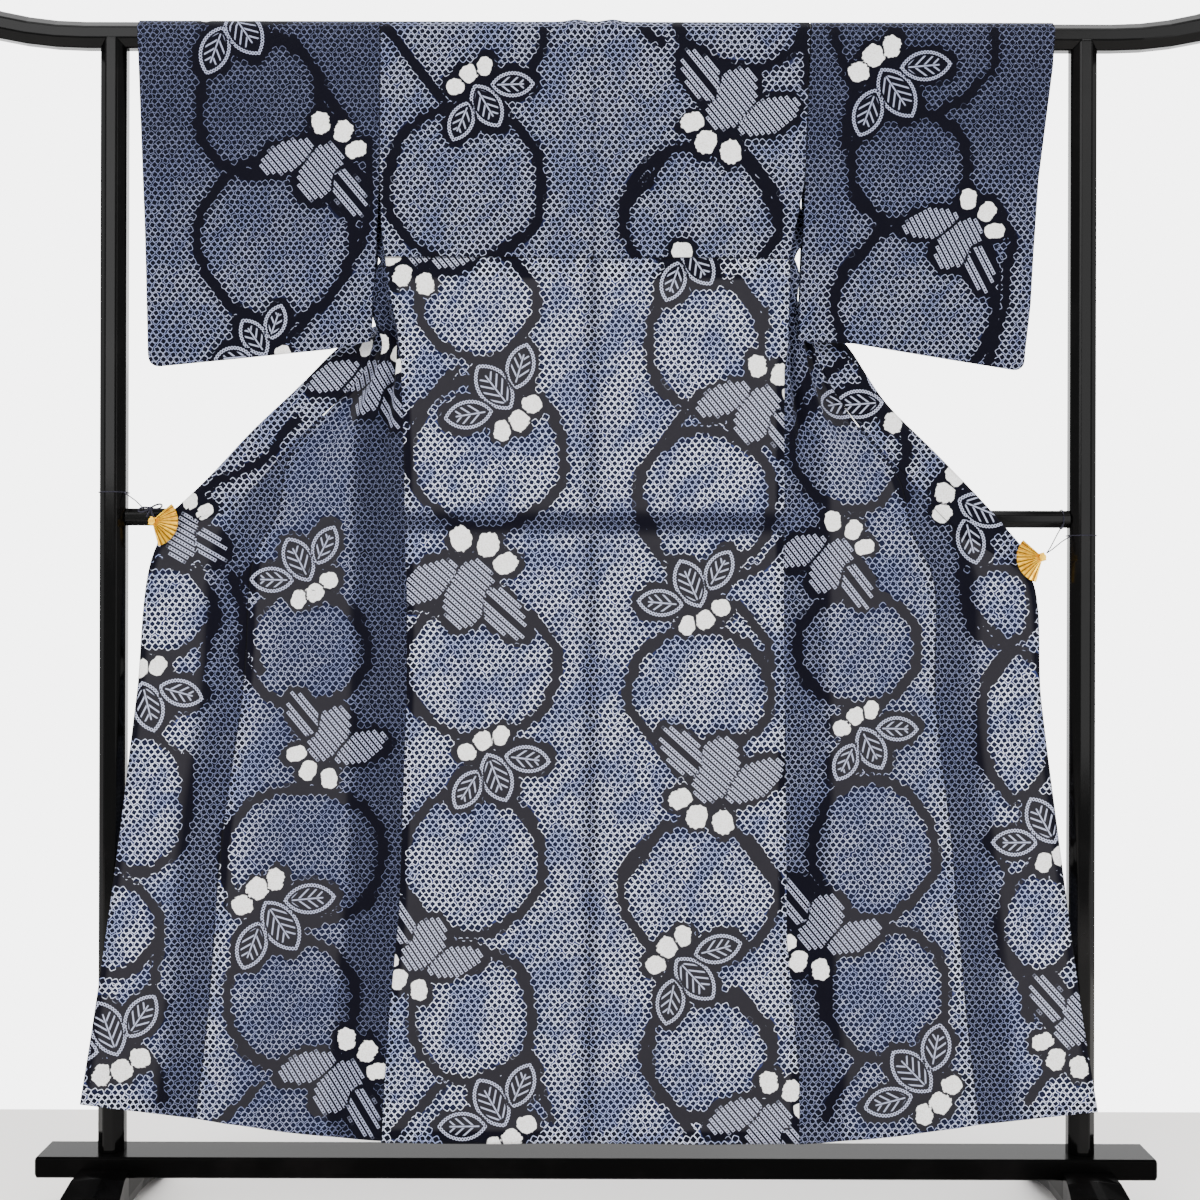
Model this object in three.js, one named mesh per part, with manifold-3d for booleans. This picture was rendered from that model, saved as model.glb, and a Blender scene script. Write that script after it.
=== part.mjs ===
// A cotton yukata displayed from behind on a black lacquered kimono rack.
// Millimetres, +Z up, +X to the viewer's right, +Y away from the viewer, origin on the floor under
// the middle of the rack. The viewer sees the outside of the back. The two fronts are swung open,
// twist behind the sleeves and are held out at their edges by a fan-shaped clip on each side.

import * as THREE from "three";
import { mergeVertices } from "three/addons/utils/BufferGeometryUtils.js";
import Module from "manifold-3d";

const wasm = await Module();
wasm.setup();

// Driving sizes: cloth
const CLOTH = 1.2; // wall of one layer
const COLLAR_CLOTH = 2.0; // the collar strip is folded double
const GAP = 0.3; // between two pieces at a seam, and between cloth and rack

// Driving sizes: rack
const POST_X = 702;
const BAR_W = 38; // posts and top bar, across the flats
const BAR_Z = 1708.9; // axis of the top bar
const BAR_END_X = 910;
const BAR_BEND_X = 742; // the ends sweep up from here
const BAR_SWEEP = 0.00093; // rise in mm for each squared mm past the bend
const RAIL_W = 25; // crossbar behind the cloth
const RAIL_Z = 1011.6;
const BEAM = { length: 1606, depth: 68, low: 64.2, high: 94.2 };
const FOOT_HALF_LENGTH = 212;

// Driving sizes: garment
const SHOULDER_R = BAR_W / 2 + GAP + CLOTH / 2; // cloth middle to bar axis
const NECK_HALF = 78; // half the width of the neck opening
const CENTRE_TOP_X = -6.9; // centre-back seam, which leans a little
const CENTRE_HEM_X = -10.8;
const HEM_Z = 112;
const ARMHOLE_Z = 1497; // the sleeve is sewn to the body down to here
const CUFF_DEPTH = 230; // open part of the cuff
const SLEEVE_CORNER_R = 17;
const COLLAR_W = 55;

const lerp = (a, b, t) => a + (b - a) * t;
const table = (names, rows) =>
  rows.map((row) => Object.fromEntries(names.map((name, i) => [name, row[i]])));

// Value of a column at a height, along straight lines between the rows, which run from the top down.
function atZ(rows, name, z) {
  const last = rows.length - 1;
  if (z >= rows[0].z) return rows[0][name];
  for (let i = 0; i < last; i++) {
    if (z < rows[i + 1].z) continue;
    const share = (rows[i].z - z) / (rows[i].z - rows[i + 1].z);
    return lerp(rows[i][name], rows[i + 1][name], share);
  }
  return rows[last][name];
}

// A row between the rows of a table, on a smooth curve through each column.
function smoothRow(rows, t) {
  const i = Math.min(Math.floor(t), rows.length - 2);
  const f = t - i;
  const pick = (k) => rows[Math.max(0, Math.min(rows.length - 1, k))];
  const [a, b, c, d] = [pick(i - 1), pick(i), pick(i + 1), pick(i + 2)];
  const out = {};
  for (const name of Object.keys(b)) {
    const [p, q, r, s] = [a[name], b[name], c[name], d[name]];
    const turn = 2 * p - 5 * q + 4 * r - s;
    out[name] = q + 0.5 * f * (r - p + f * (turn + f * (3 * (q - r) + s - p)));
  }
  return out;
}

// Shared solids

function geometryFrom(points, triangles) {
  const g = new THREE.BufferGeometry();
  g.setAttribute("position", new THREE.Float32BufferAttribute(points.flatMap((p) => [p.x, p.y, p.z]), 3));
  g.setIndex(triangles.flat());
  let volume = 0;
  for (const [a, b, c] of triangles) {
    volume += points[a].dot(new THREE.Vector3().crossVectors(points[b], points[c]));
  }
  if (volume < 0) g.setIndex(triangles.flatMap(([a, b, c]) => [a, c, b]));
  return g;
}

function toManifold(geometry) {
  let g = geometry.clone();
  g.deleteAttribute("normal");
  g.deleteAttribute("uv");
  g = mergeVertices(g, 1e-4);
  return new wasm.Manifold(
    new wasm.Mesh({
      numProp: 3,
      vertProperties: new Float32Array(g.attributes.position.array),
      triVerts: new Uint32Array(g.index.array),
    }),
  );
}

// Geometry of the largest piece of a manifold: a cut can leave crumbs.
function fromManifold(manifold) {
  const pieces = manifold.decompose().sort((a, b) => b.volume() - a.volume());
  const mesh = pieces[0].getMesh();
  const g = new THREE.BufferGeometry();
  g.setAttribute("position", new THREE.BufferAttribute(new Float32Array(mesh.vertProperties), 3));
  g.setIndex(new THREE.BufferAttribute(new Uint32Array(mesh.triVerts), 1));
  return g;
}

// A cloth wall round a grid of points, half its thickness to each side. ring closes each row on
// itself. has(i, j) says which cells are cloth.
function wall(grid, thickness, { ring = false, has = () => true } = {}) {
  const rows = grid.length;
  const cols = grid[0].length;
  const at = (i, j) => {
    const row = grid[Math.max(0, Math.min(rows - 1, i))];
    return ring ? row[(j + cols) % cols] : row[Math.max(0, Math.min(cols - 1, j))];
  };
  const points = [];
  for (const side of [1, -1]) {
    for (let i = 0; i < rows; i++) {
      for (let j = 0; j < cols; j++) {
        const along = at(i + 1, j).clone().sub(at(i - 1, j));
        const across = at(i, j + 1).clone().sub(at(i, j - 1));
        const normal = along.cross(across).normalize();
        points.push(grid[i][j].clone().addScaledVector(normal, (side * thickness) / 2));
      }
    }
  }
  const front = (i, j) => i * cols + ((j + cols) % cols);
  const back = (i, j) => rows * cols + front(i, j);
  const triangles = [];
  const quad = (a, b, c, d) => triangles.push([a, b, c], [a, c, d]);
  const cellCols = ring ? cols : cols - 1;
  const cell = (i, j) => {
    if (i < 0 || i >= rows - 1) return false;
    if (!ring && (j < 0 || j >= cellCols)) return false;
    return has(i, (j + cellCols) % cellCols);
  };
  for (let i = 0; i < rows - 1; i++) {
    for (let j = 0; j < cellCols; j++) {
      if (!cell(i, j)) continue;
      quad(front(i, j), front(i + 1, j), front(i + 1, j + 1), front(i, j + 1));
      quad(back(i, j), back(i, j + 1), back(i + 1, j + 1), back(i + 1, j));
      if (!cell(i - 1, j)) quad(front(i, j), front(i, j + 1), back(i, j + 1), back(i, j));
      if (!cell(i + 1, j)) quad(front(i + 1, j + 1), front(i + 1, j), back(i + 1, j), back(i + 1, j + 1));
      if (!cell(i, j - 1)) quad(front(i + 1, j), front(i, j), back(i, j), back(i + 1, j));
      if (!cell(i, j + 1)) quad(front(i, j + 1), front(i + 1, j + 1), back(i + 1, j + 1), back(i, j + 1));
    }
  }
  return mergeVertices(compact(geometryFrom(points, triangles)), 1e-5);
}

// The same geometry without points that no triangle uses.
function compact(geometry) {
  const g = geometry.toNonIndexed();
  g.deleteAttribute("normal");
  return mergeVertices(g, 1e-5);
}

// A solid through a list of convex outlines with the same number of points, capped at both ends.
function loft(sections) {
  const n = sections[0].length;
  const points = sections.flat();
  const triangles = [];
  for (let s = 0; s < sections.length - 1; s++) {
    for (let k = 0; k < n; k++) {
      const a = s * n + k;
      const b = s * n + ((k + 1) % n);
      triangles.push([a, b, b + n], [a, b + n, a + n]);
    }
  }
  const last = (sections.length - 1) * n;
  for (let k = 1; k < n - 1; k++) {
    triangles.push([0, k + 1, k], [last, last + k, last + k + 1]);
  }
  return geometryFrom(points, triangles);
}

// A round cord through points. closed joins its end to its start. across is a way that the cord
// never runs, so that its facets don't twist.
function cord(points, radius, { sides = 6, closed = false, across = null } = {}) {
  const n = points.length;
  const rings = points.map((p, i) => {
    const before = points[closed ? (i + n - 1) % n : Math.max(0, i - 1)];
    const after = points[closed ? (i + 1) % n : Math.min(n - 1, i + 1)];
    const way = after.clone().sub(before).normalize();
    const up = across ?? (Math.abs(way.z) < 0.8 ? new THREE.Vector3(0, 0, 1) : new THREE.Vector3(0, 1, 0));
    const u = new THREE.Vector3().crossVectors(up, way).normalize();
    const v = new THREE.Vector3().crossVectors(way, u);
    return Array.from({ length: sides }, (_, k) => {
      const a = (k / sides) * 2 * Math.PI;
      return p.clone().addScaledVector(u, radius * Math.cos(a)).addScaledVector(v, radius * Math.sin(a));
    });
  });
  if (!closed) return loft(rings);
  const triangles = [];
  for (let s = 0; s < n; s++) {
    for (let k = 0; k < sides; k++) {
      const a = s * sides + k;
      const b = s * sides + ((k + 1) % sides);
      const next = ((s + 1) % n) * sides;
      triangles.push([a, b, next + ((k + 1) % sides)], [a, next + ((k + 1) % sides), next + k]);
    }
  }
  return geometryFrom(rings.flat(), triangles);
}

const boxGeometry = (low, high) => {
  const size = high.map((h, i) => h - low[i]);
  const g = new THREE.BoxGeometry(...size);
  g.translate(...low.map((l, i) => (l + high[i]) / 2));
  return g;
};

// Rack

// Outline of the post and bar timber: eight flats with softened corners, in two dimensions.
function timberOutline(width, soften = 1.6) {
  const half = width / 2;
  const corner = half / Math.cos(Math.PI / 8);
  const outline = [];
  for (let k = 0; k < 8; k++) {
    const middle = Math.PI / 8 + (k * Math.PI) / 4;
    const tip = [corner * Math.cos(middle), corner * Math.sin(middle)];
    for (const turn of [-1, 1]) {
      const flat = middle + turn * (Math.PI / 8);
      const along = [Math.cos(flat) * half - tip[0], Math.sin(flat) * half - tip[1]];
      const length = Math.hypot(...along);
      outline.push([tip[0] + (along[0] / length) * soften, tip[1] + (along[1] / length) * soften]);
    }
  }
  return outline;
}

const barRise = (x) => BAR_SWEEP * Math.max(0, Math.abs(x) - BAR_BEND_X) ** 2;

function topBar(grow = 0) {
  const bends = [0, 0.25, 0.5, 0.75, 1].map((t) => lerp(BAR_BEND_X, BAR_END_X, t));
  const xs = [...bends.slice().reverse().map((x) => -x), ...bends];
  return loft(
    xs.map((x) => {
      const rise = barRise(x);
      const slope = Math.sign(x) * 2 * BAR_SWEEP * Math.max(0, Math.abs(x) - BAR_BEND_X);
      return timberOutline(BAR_W + 2 * grow).map(
        ([y, z]) => new THREE.Vector3(x - z * slope, y, BAR_Z + rise + z),
      );
    }),
  );
}

// The post runs up into the bar's lower half, its head hollowed to seat the bar.
function post(x) {
  const ends = [BEAM.high + GAP, BAR_Z - 6];
  const timber = loft(ends.map((z) => timberOutline(BAR_W).map(([u, v]) => new THREE.Vector3(x + u, v, z))));
  return fromManifold(toManifold(timber).subtract(toManifold(topBar(GAP))));
}

function crossbar() {
  const end = POST_X - BAR_W / 2 - GAP;
  return loft(
    [-end, end].map((x) => timberOutline(RAIL_W, 1.2).map(([y, z]) => new THREE.Vector3(x, y, RAIL_Z + z))),
  );
}

function baseBeam() {
  const soften = 2.5;
  const half = BEAM.depth / 2;
  const middle = (BEAM.low + BEAM.high) / 2;
  const rise = (BEAM.high - BEAM.low) / 2;
  const outline = (inset) => {
    const [y, z] = [half - inset, rise - inset];
    return [
      [y, z - soften], [y - soften, z], [soften - y, z], [-y, z - soften],
      [-y, soften - z], [soften - y, -z], [y - soften, -z], [y, soften - z],
    ];
  };
  const end = BEAM.length / 2;
  const stations = [[-end, soften], [soften - end, 0], [end - soften, 0], [end, soften]];
  return loft(
    stations.map(([x, inset]) => outline(inset).map(([y, z]) => new THREE.Vector3(x, y, middle + z))),
  );
}

// Sections of half a foot, from its middle to its tip: half width, shoulder, ridge and underside.
const FOOT = table(
  ["y", "half", "shoulder", "ridge", "low"],
  [
    [0, 35, 77, 77, 22],
    [36, 35, 77, 77, 22],
    [66, 38, 72, 76, 21],
    [100, 42, 58, 66, 17],
    [135, 42, 44, 55, 6],
    [146, 41, 40, 51, 0],
    [176, 36, 28, 40, 0],
    [198, 27, 18, 29, 0],
    [FOOT_HALF_LENGTH, 15, 10, 18, 0],
  ],
);

function foot(x) {
  const section = (row, sign) => {
    const { half, shoulder, ridge, low } = row;
    const y = sign * row.y;
    const flare = half * 0.9;
    return [
      [-flare, low], [flare, low], [half, lerp(low, shoulder, 0.3)], [half, shoulder],
      [half * 0.16, ridge], [-half * 0.16, ridge], [-half, shoulder], [-half, lerp(low, shoulder, 0.3)],
    ].map(([dx, z]) => new THREE.Vector3(x + dx, y, z));
  };
  const near = FOOT.slice(1).reverse().map((row) => section(row, -1));
  const far = FOOT.slice(1).map((row) => section(row, 1));
  const timber = toManifold(loft([...near, section(FOOT[0], 1), ...far]));
  const reach = BEAM.length;
  const half = BEAM.depth / 2 + GAP;
  const notch = boxGeometry([-reach, -half, BEAM.low - GAP], [reach, half, BEAM.high + reach]);
  return fromManifold(timber.subtract(toManifold(notch)));
}

// Body panels: each is one length of cloth, up the back, over the bar and down the front.

// Side edge of each back panel, from the shoulder to the hem.
const BACK = {
  left: table(
    ["z", "side"],
    [
      [1730, -314], [1497, -315], [1425, -312], [1339, -300.6], [1282, -289], [1239, -283.4],
      [1102, -279], [894, -274.8], [765, -274.8], [448, -284.9], [294, -299.2], [165, -307.8], [112, -309.2],
    ],
  ),
  right: table(
    ["z", "side"],
    [
      [1730, 305], [1497, 296.5], [1392, 276], [1258, 273.2], [1225, 268], [892, 269],
      [404, 274.8], [206, 293], [112, 293.6],
    ],
  ),
};

// The open fronts, from the shoulder to the hem. s is the side edge: open is 1 where it hangs behind
// the bar and 0 where it is sewn to the back. e is the edge sewn to the collar, then the outer edge
// of the narrow overlap panel, f the collar's free edge. overlap is that panel's width, pleat the
// depth of the gathers, sag the drop in the middle of a row. out and near say how far the cloth
// beside the armhole swells sideways and towards the viewer, into the sleeve's mouth.
const FRONT_COLUMNS = [
  "sz", "open", "ex", "ey", "ez", "fx", "fy", "fz", "overlap", "pleat", "sag", "out", "near",
];
const FRONT = {
  left: table(FRONT_COLUMNS, [
    [1697, 1, -94, 20.6, 1697, -74, 28, 1645, 0, 0, 0, 0, 0],
    [1650, 1, -112, 23, 1655, -90, 31, 1612, 0, 1.5, 0, 0, 0],
    [1590, 1, -144, 26, 1600, -115, 35, 1561, 0, 5, 2, 0, 0],
    [1497, 1, -200, 29, 1515, -163, 41, 1478, 0, 11, 4, 0, 0],
    [1430, 0.75, -252, 28, 1442, -213, 52, 1408, 0, 15, 4, 10, 9],
    [1362, 0, -292, 23, 1370, -262, 62, 1348, 0, 16, 2, 27, 9],
    [1310, 0, -316, 19, 1302, -316, 70, 1310, 0, 16, 0, 20, 8],
    [1280, 0, -331, 16, 1258, -362, 52, 1286, 0, 16, 0, 0, 0],
    [1250, 0, -348, 13, 1216, -388, 22, 1255.6, 0, 15, 2, 0, 0],
    [1165, 0, -401, 3, 1160, -440, 10, 1199, 3, 12, 4, 0, 0],
    [1075, 0, -461, -9, 1096, -501, -5, 1136, 14, 6, 6, 0, 0],
    [985, 0, -524, -18, 1028, -562, -16.5, 1066.7, 65, 1.5, 10, 0, 0],
    [880, 0, -634, -22, 968, -623, -21, 1008, 140, 2, 14, 0, 0],
    [750, 0, -662, -23, 751, 0, 0, 0, 152, 2, 4, 0, 0],
    [550, 0, -686.7, -24, 545, 0, 0, 0, 148, 2, 2, 0, 0],
    [330, 0, -717, -25, 322, 0, 0, 0, 162, 2, 2, 0, 0],
    [114.6, 0, -740.6, -26, 167.3, 0, 0, 0, 167, 2, 4, 0, 0],
  ]),
  right: table(FRONT_COLUMNS, [
    [1697, 1, 80, 20.6, 1697, 60, 28, 1645, 0, 0, 0, 0, 0],
    [1650, 1, 98, 23, 1655, 76, 31, 1612, 0, 1.5, 0, 0, 0],
    [1590, 1, 130, 26, 1600, 101, 35, 1561, 0, 5, 2, 0, 0],
    [1497, 1, 186, 29, 1515, 149, 41, 1478, 0, 11, 4, 0, 0],
    [1430, 0.75, 238, 28, 1442, 199, 52, 1408, 0, 15, 4, 15, 9],
    [1362, 0, 278, 23, 1370, 249, 62, 1348, 0, 16, 2, 13, 13],
    [1310, 0, 301, 19, 1302, 303, 70, 1310, 0, 16, 0, -3, 3],
    [1280, 0, 315, 16, 1262, 342, 52, 1292, 0, 16, 0, 0, 0],
    [1250, 0, 329, 13, 1224, 367, 22, 1263.7, 0, 15, 2, 0, 0],
    [1165, 0, 381, 3, 1145, 419, 10, 1182, 3, 12, 4, 0, 0],
    [1075, 0, 448, -11, 1070, 488, -8, 1107, 14, 5, 6, 0, 0],
    [985, 0, 516, -18.5, 996, 556, -17, 1034, 65, 1.5, 8, 0, 0],
    [880, 0, 621.5, -22, 929, 612, -21, 969, 138, 2, 12, 0, 0],
    [750, 0, 638, -23, 750, 0, 0, 0, 152, 2, 4, 0, 0],
    [550, 0, 664, -24, 545, 0, 0, 0, 155, 2, 2, 0, 0],
    [330, 0, 693.5, -25, 325, 0, 0, 0, 165, 2, 2, 0, 0],
    [111.6, 0, 719.7, -26, 160.7, 0, 0, 0, 171, 2, 4, 0, 0],
  ]),
};
const CLIP_ROW = 12; // the collar and its seam end at this row, under the clip
const OVERLAP_ROW = 9; // the overlap panel starts here as a point
const PLEATS = 2;
const SIDE_LAP = 1.5;

const centreX = (z) => lerp(CENTRE_HEM_X, CENTRE_TOP_X, (z - HEM_Z) / (BAR_Z - HEM_Z));

// Places round the bar that cloth passes, from its near face over the top to its far chamfer.
function overBar(offset) {
  const r = BAR_W / 2 + GAP + offset;
  const flat = r * Math.tan(Math.PI / 8);
  return {
    nearFace: [-r, BAR_Z - 12],
    nearCorner: [-r, BAR_Z + flat],
    nearTop: [-flat, BAR_Z + r],
    top: [0, BAR_Z + r],
    farTop: [flat, BAR_Z + r],
    farChamfer: [(r + flat) / 2, BAR_Z + (r + flat) / 2],
    farCorner: [r, BAR_Z + flat],
    farFace: [r, BAR_Z - 12],
  };
}

// The collar's folded thickness lifts the back a little on each side of the nape.
const napeHump = (x) => 3.5 * (Math.exp(-(((x + 33) / 15) ** 2)) + Math.exp(-(((x - 19) / 15) ** 2)));

// Below the bar the back hangs a little nearer to the viewer.
const backDrop = (z) => Math.min(1, Math.max(0, (BAR_Z - z) / 400));
const backY = (z) => -SHOULDER_R - 2.1 * backDrop(z);

// Middle of a back panel at a height: share runs from the side edge to the centre seam.
function backPoint(side, share, z) {
  const edge = atZ(BACK[side], "side", z);
  const centre = centreX(z) + (side === "left" ? -GAP / 2 : GAP / 2);
  const belly = 3 * backDrop(z) * Math.sin(Math.PI * share) ** 2;
  return new THREE.Vector3(lerp(edge, centre, share), backY(z) - belly, z);
}

// Side edge of a front row. Where it is sewn it laps into the back, so that the two are one cloth.
function frontSide(side, row) {
  const lap = side === "left" ? SIDE_LAP : -SIDE_LAP;
  const y = lerp(backY(row.sz), SHOULDER_R, Math.min(1, Math.max(0, row.open)));
  return new THREE.Vector3(atZ(BACK[side], "side", row.sz) + lap, y, row.sz);
}

const BACK_HEIGHTS = [
  1640, 1570, 1497, 1440, 1384, 1339, 1282, 1239, 1165, 1075, 985, 894, 765, 600, 510, 448, 390, 294,
  230, 165, 112,
];

function backPanel(side) {
  const over = overBar(CLOTH / 2);
  const sign = side === "left" ? -1 : 1;
  const edge = atZ(BACK[side], "side", BAR_Z);
  const neck = centreX(BAR_Z) + sign * NECK_HALF;
  const shareOf = (x) => (x - edge) / (centreX(BAR_Z) - edge);
  const neckShare = shareOf(neck);
  const columns = [0, 0.25 * neckShare, 0.5 * neckShare, 0.75 * neckShare, neckShare];
  const humpX = side === "left" ? [-55, -33, -18] : [45, 19, 5];
  columns.push(...humpX.map(shareOf), 1);
  const wrapped = ([y, z]) =>
    columns.map((share) => {
      const p = backPoint(side, share, Math.min(z, BAR_Z));
      const lift = z > BAR_Z ? napeHump(p.x) : 0;
      return new THREE.Vector3(p.x, y, z + lift);
    });
  const grid = [
    wrapped(over.farChamfer), wrapped(over.farTop), wrapped(over.top), wrapped(over.nearTop),
    wrapped(over.nearCorner), wrapped(over.nearFace),
    ...BACK_HEIGHTS.map((z) => columns.map((share) => backPoint(side, share, z))),
  ];
  const neckColumn = 4;
  return wall(grid, CLOTH, { has: (i, j) => i >= 2 || j >= neckColumn });
}

// Distance of a gather from the row's chord: narrow and deep, flat between.
const gather = (share) => (0.5 - 0.5 * Math.cos(2 * Math.PI * PLEATS * share)) ** 2;

// Share of the swelling along a row: at the side edge where it hangs open, mid-row where it is sewn.
const swell = (open, share) =>
  lerp(Math.sin(Math.PI * share), 1 - share, Math.min(1, Math.max(0, 2 * open)));

// Points of a front row from its side edge to the given end, which is the collar's or the
// overlap panel's seam.
function frontRow(side, row, end, shares) {
  const s = frontSide(side, row);
  const chord = end.clone().sub(s);
  const flat = Math.hypot(chord.x, chord.y);
  const inward = new THREE.Vector3(chord.y / flat, -chord.x / flat, 0);
  if (side === "right") inward.negate();
  return shares.map((share) => {
    const p = s.clone().addScaledVector(chord, share);
    p.addScaledVector(inward, row.pleat * gather(share));
    p.x += (side === "left" ? -row.out : row.out) * swell(row.open, share);
    p.y -= row.near * swell(row.open, share);
    p.z -= row.sag * 4 * share * (1 - share);
    return p;
  });
}

// Where a front row's body panel ends: short of its seam by half the gap.
function frontEnd(side, row) {
  const s = frontSide(side, row);
  const e = new THREE.Vector3(row.ex, row.ey, row.ez);
  const back = s.sub(e).normalize();
  return e.addScaledVector(back, row.overlap > 0.5 ? row.overlap + GAP / 2 : 0);
}

const evenly = (count) => Array.from({ length: count + 1 }, (_, k) => k / count);

// Row places down a front: closer together through the twist.
const FRONT_STEPS = [
  0, 1, 2, 3, 3.5, 4, 4.5, 5, 5.5, 6, 6.5, 7, 7.5, 8, 8.5, 9, 9.5, 10, 11, 12, 13, 14, 14.5, 15, 15.5, 16,
];

function frontPanel(side) {
  const over = overBar(CLOTH / 2);
  const shares = evenly(6 * PLEATS);
  const first = FRONT[side][0];
  const neck = centreX(BAR_Z) + (side === "left" ? -NECK_HALF : NECK_HALF);
  const onBar = ([y, z]) =>
    shares.map((share) => new THREE.Vector3(lerp(atZ(BACK[side], "side", BAR_Z), neck, share), y, z));
  const start = [-2, over.top[1]]; // laps onto the back panel so that the two make one length
  const grid = [onBar(start), onBar(over.farTop), onBar(over.farCorner)];
  for (const t of FRONT_STEPS) {
    const row = t === 0 ? first : smoothRow(FRONT[side], t);
    grid.push(frontRow(side, row, frontEnd(side, row), shares));
  }
  return wall(grid, CLOTH);
}

// Overlap panel: the narrow strip sewn to the front's edge, from a point down to the hem.
function overlapPanel(side) {
  const shares = evenly(4);
  const steps = FRONT_STEPS.filter((t) => t >= OVERLAP_ROW);
  const grid = steps.map((t) => {
    const row = smoothRow(FRONT[side], t);
    const e = new THREE.Vector3(row.ex, row.ey, row.ez);
    const s = frontSide(side, row);
    const inner = e.clone().addScaledVector(s.sub(e).normalize(), row.overlap - GAP / 2);
    return shares.map((share) => inner.clone().lerp(e, share));
  });
  return wall(grid, CLOTH);
}

// Collar at the nape, from the centre seam to where it turns down the front. e is its seam, k the
// place where it bends over the bar's far corner, f its free edge.
const NAPE_COLUMNS = ["ex", "ey", "ez", "kx", "ky", "kz", "fx", "fy", "fz"];
const NAPE = table(NAPE_COLUMNS, [
  [0, 14.6, 1723.5, 0, 21, 1717.3, 0, 22, 1669],
  [42, 14.6, 1723.5, 41, 21, 1717.3, 34, 23, 1667],
  [72, 14.6, 1723.5, 69, 21, 1717.3, 53, 25, 1661],
  [79, 18.9, 1720, 75, 21.2, 1713, 57, 25.5, 1658],
  [84, 21.6, 1714, 79, 21.8, 1707, 61, 26.5, 1653],
]);
const BEND_SHARE = 0.16; // place of k across the collar

// Rows of the collar from the left clip round the nape to the right clip. grow widens it.
function collarGrid(grow) {
  const shares = [0, BEND_SHARE, 0.4, 0.7, 1];
  const strip = (e, k, f) =>
    shares.map((share) => {
      const bend = k ?? e.clone().lerp(f, BEND_SHARE);
      const inner = share <= BEND_SHARE;
      const p = inner
        ? e.clone().lerp(bend, share / BEND_SHARE)
        : bend.clone().lerp(f, (share - BEND_SHARE) / (1 - BEND_SHARE));
      if (grow > 0 && share === 0) p.addScaledVector(e.clone().sub(f).normalize(), grow);
      return p;
    });
  const half = (side) => {
    const sign = side === "left" ? -1 : 1;
    const rows = FRONT[side].slice(0, CLIP_ROW + 1);
    const out = NAPE.map((n) => {
      const x = (dx) => centreX(BAR_Z) + sign * dx;
      const e = new THREE.Vector3(x(n.ex), n.ey, n.ez);
      const k = new THREE.Vector3(x(n.kx), n.ky, n.kz);
      return strip(e, k, new THREE.Vector3(x(n.fx), n.fy, n.fz));
    });
    for (let t = 0; t <= CLIP_ROW; t += t < 3 || t >= 10 ? 1 : 0.5) {
      const row = smoothRow(rows, t);
      const e = new THREE.Vector3(row.ex, row.ey, row.ez);
      out.push(strip(e, null, new THREE.Vector3(row.fx, row.fy, row.fz)));
    }
    return out;
  };
  const rows = [...half("left").reverse(), ...half("right").slice(1)];
  const last = rows.length - 1;
  for (const [end, next] of [[0, 1], [last, last - 1]]) {
    rows[end] = rows[end].map((p, j) => {
      const outward = p.clone().sub(rows[next][j]).normalize();
      return p.clone().addScaledVector(outward, grow);
    });
  }
  return rows;
}

const collar = (grow = 0) => wall(collarGrid(grow), COLLAR_CLOTH + 2 * grow);

// Sleeves: a folded width of cloth over the bar, sewn along the bottom and the lower cuff, open at
// the upper cuff and on the body side.
const SLEEVE = {
  left: table(
    ["z", "cuff", "arm"],
    [
      [1730, -664.4, -314.5], [1497, -657.5, -315.5], [1443, -655.7, -318], [1384, -654.5, -320.5],
      [1269, -652.9, -329], [1228, -652.9, -330],
    ],
  ),
  right: table(
    ["z", "cuff", "arm"],
    [
      [1730, 656.5, 305.8], [1663, 653.6, 303.4], [1503, 635, 297.5], [1395, 629, 293.5],
      [1324, 626, 290], [1253, 618.8, 288.7], [1228, 618.8, 288.7],
    ],
  ),
};
// Height of the bottom edge, by distance from the garment's centre.
const SLEEVE_BOTTOM = {
  left: [[-653, 1229], [-390, 1255], [-329, 1266.5]],
  right: [[619, 1226], [369, 1265.5], [288.7, 1268]],
};

function bottomZ(side, x) {
  const [outer, middle, inner] = SLEEVE_BOTTOM[side];
  const [a, b] = Math.abs(x) > Math.abs(middle[0]) ? [outer, middle] : [middle, inner];
  return lerp(a[1], b[1], (x - a[0]) / (b[0] - a[0]));
}

// Half the space between a sleeve's two layers.
function sleeveHalf(share, z) {
  const low = 1240;
  const atCuff = z > 1499 ? lerp(13, SHOULDER_R, (z - 1499) / (BAR_Z - 12 - 1499)) : lerp(3, 13, (z - low) / 259);
  const atBody = z > ARMHOLE_Z ? SHOULDER_R : lerp(1, SHOULDER_R, Math.max(0, (z - low) / (ARMHOLE_Z - low)));
  return Math.max(2, lerp(atCuff, atBody, share ** 1.5));
}

// At its lower body corner the sleeve hangs nearer to the viewer, clear of the front behind it.
const sleeveLean = (share, z) => -9 * share ** 2 * Math.min(1, Math.max(0, (ARMHOLE_Z - z) / 180));

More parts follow.
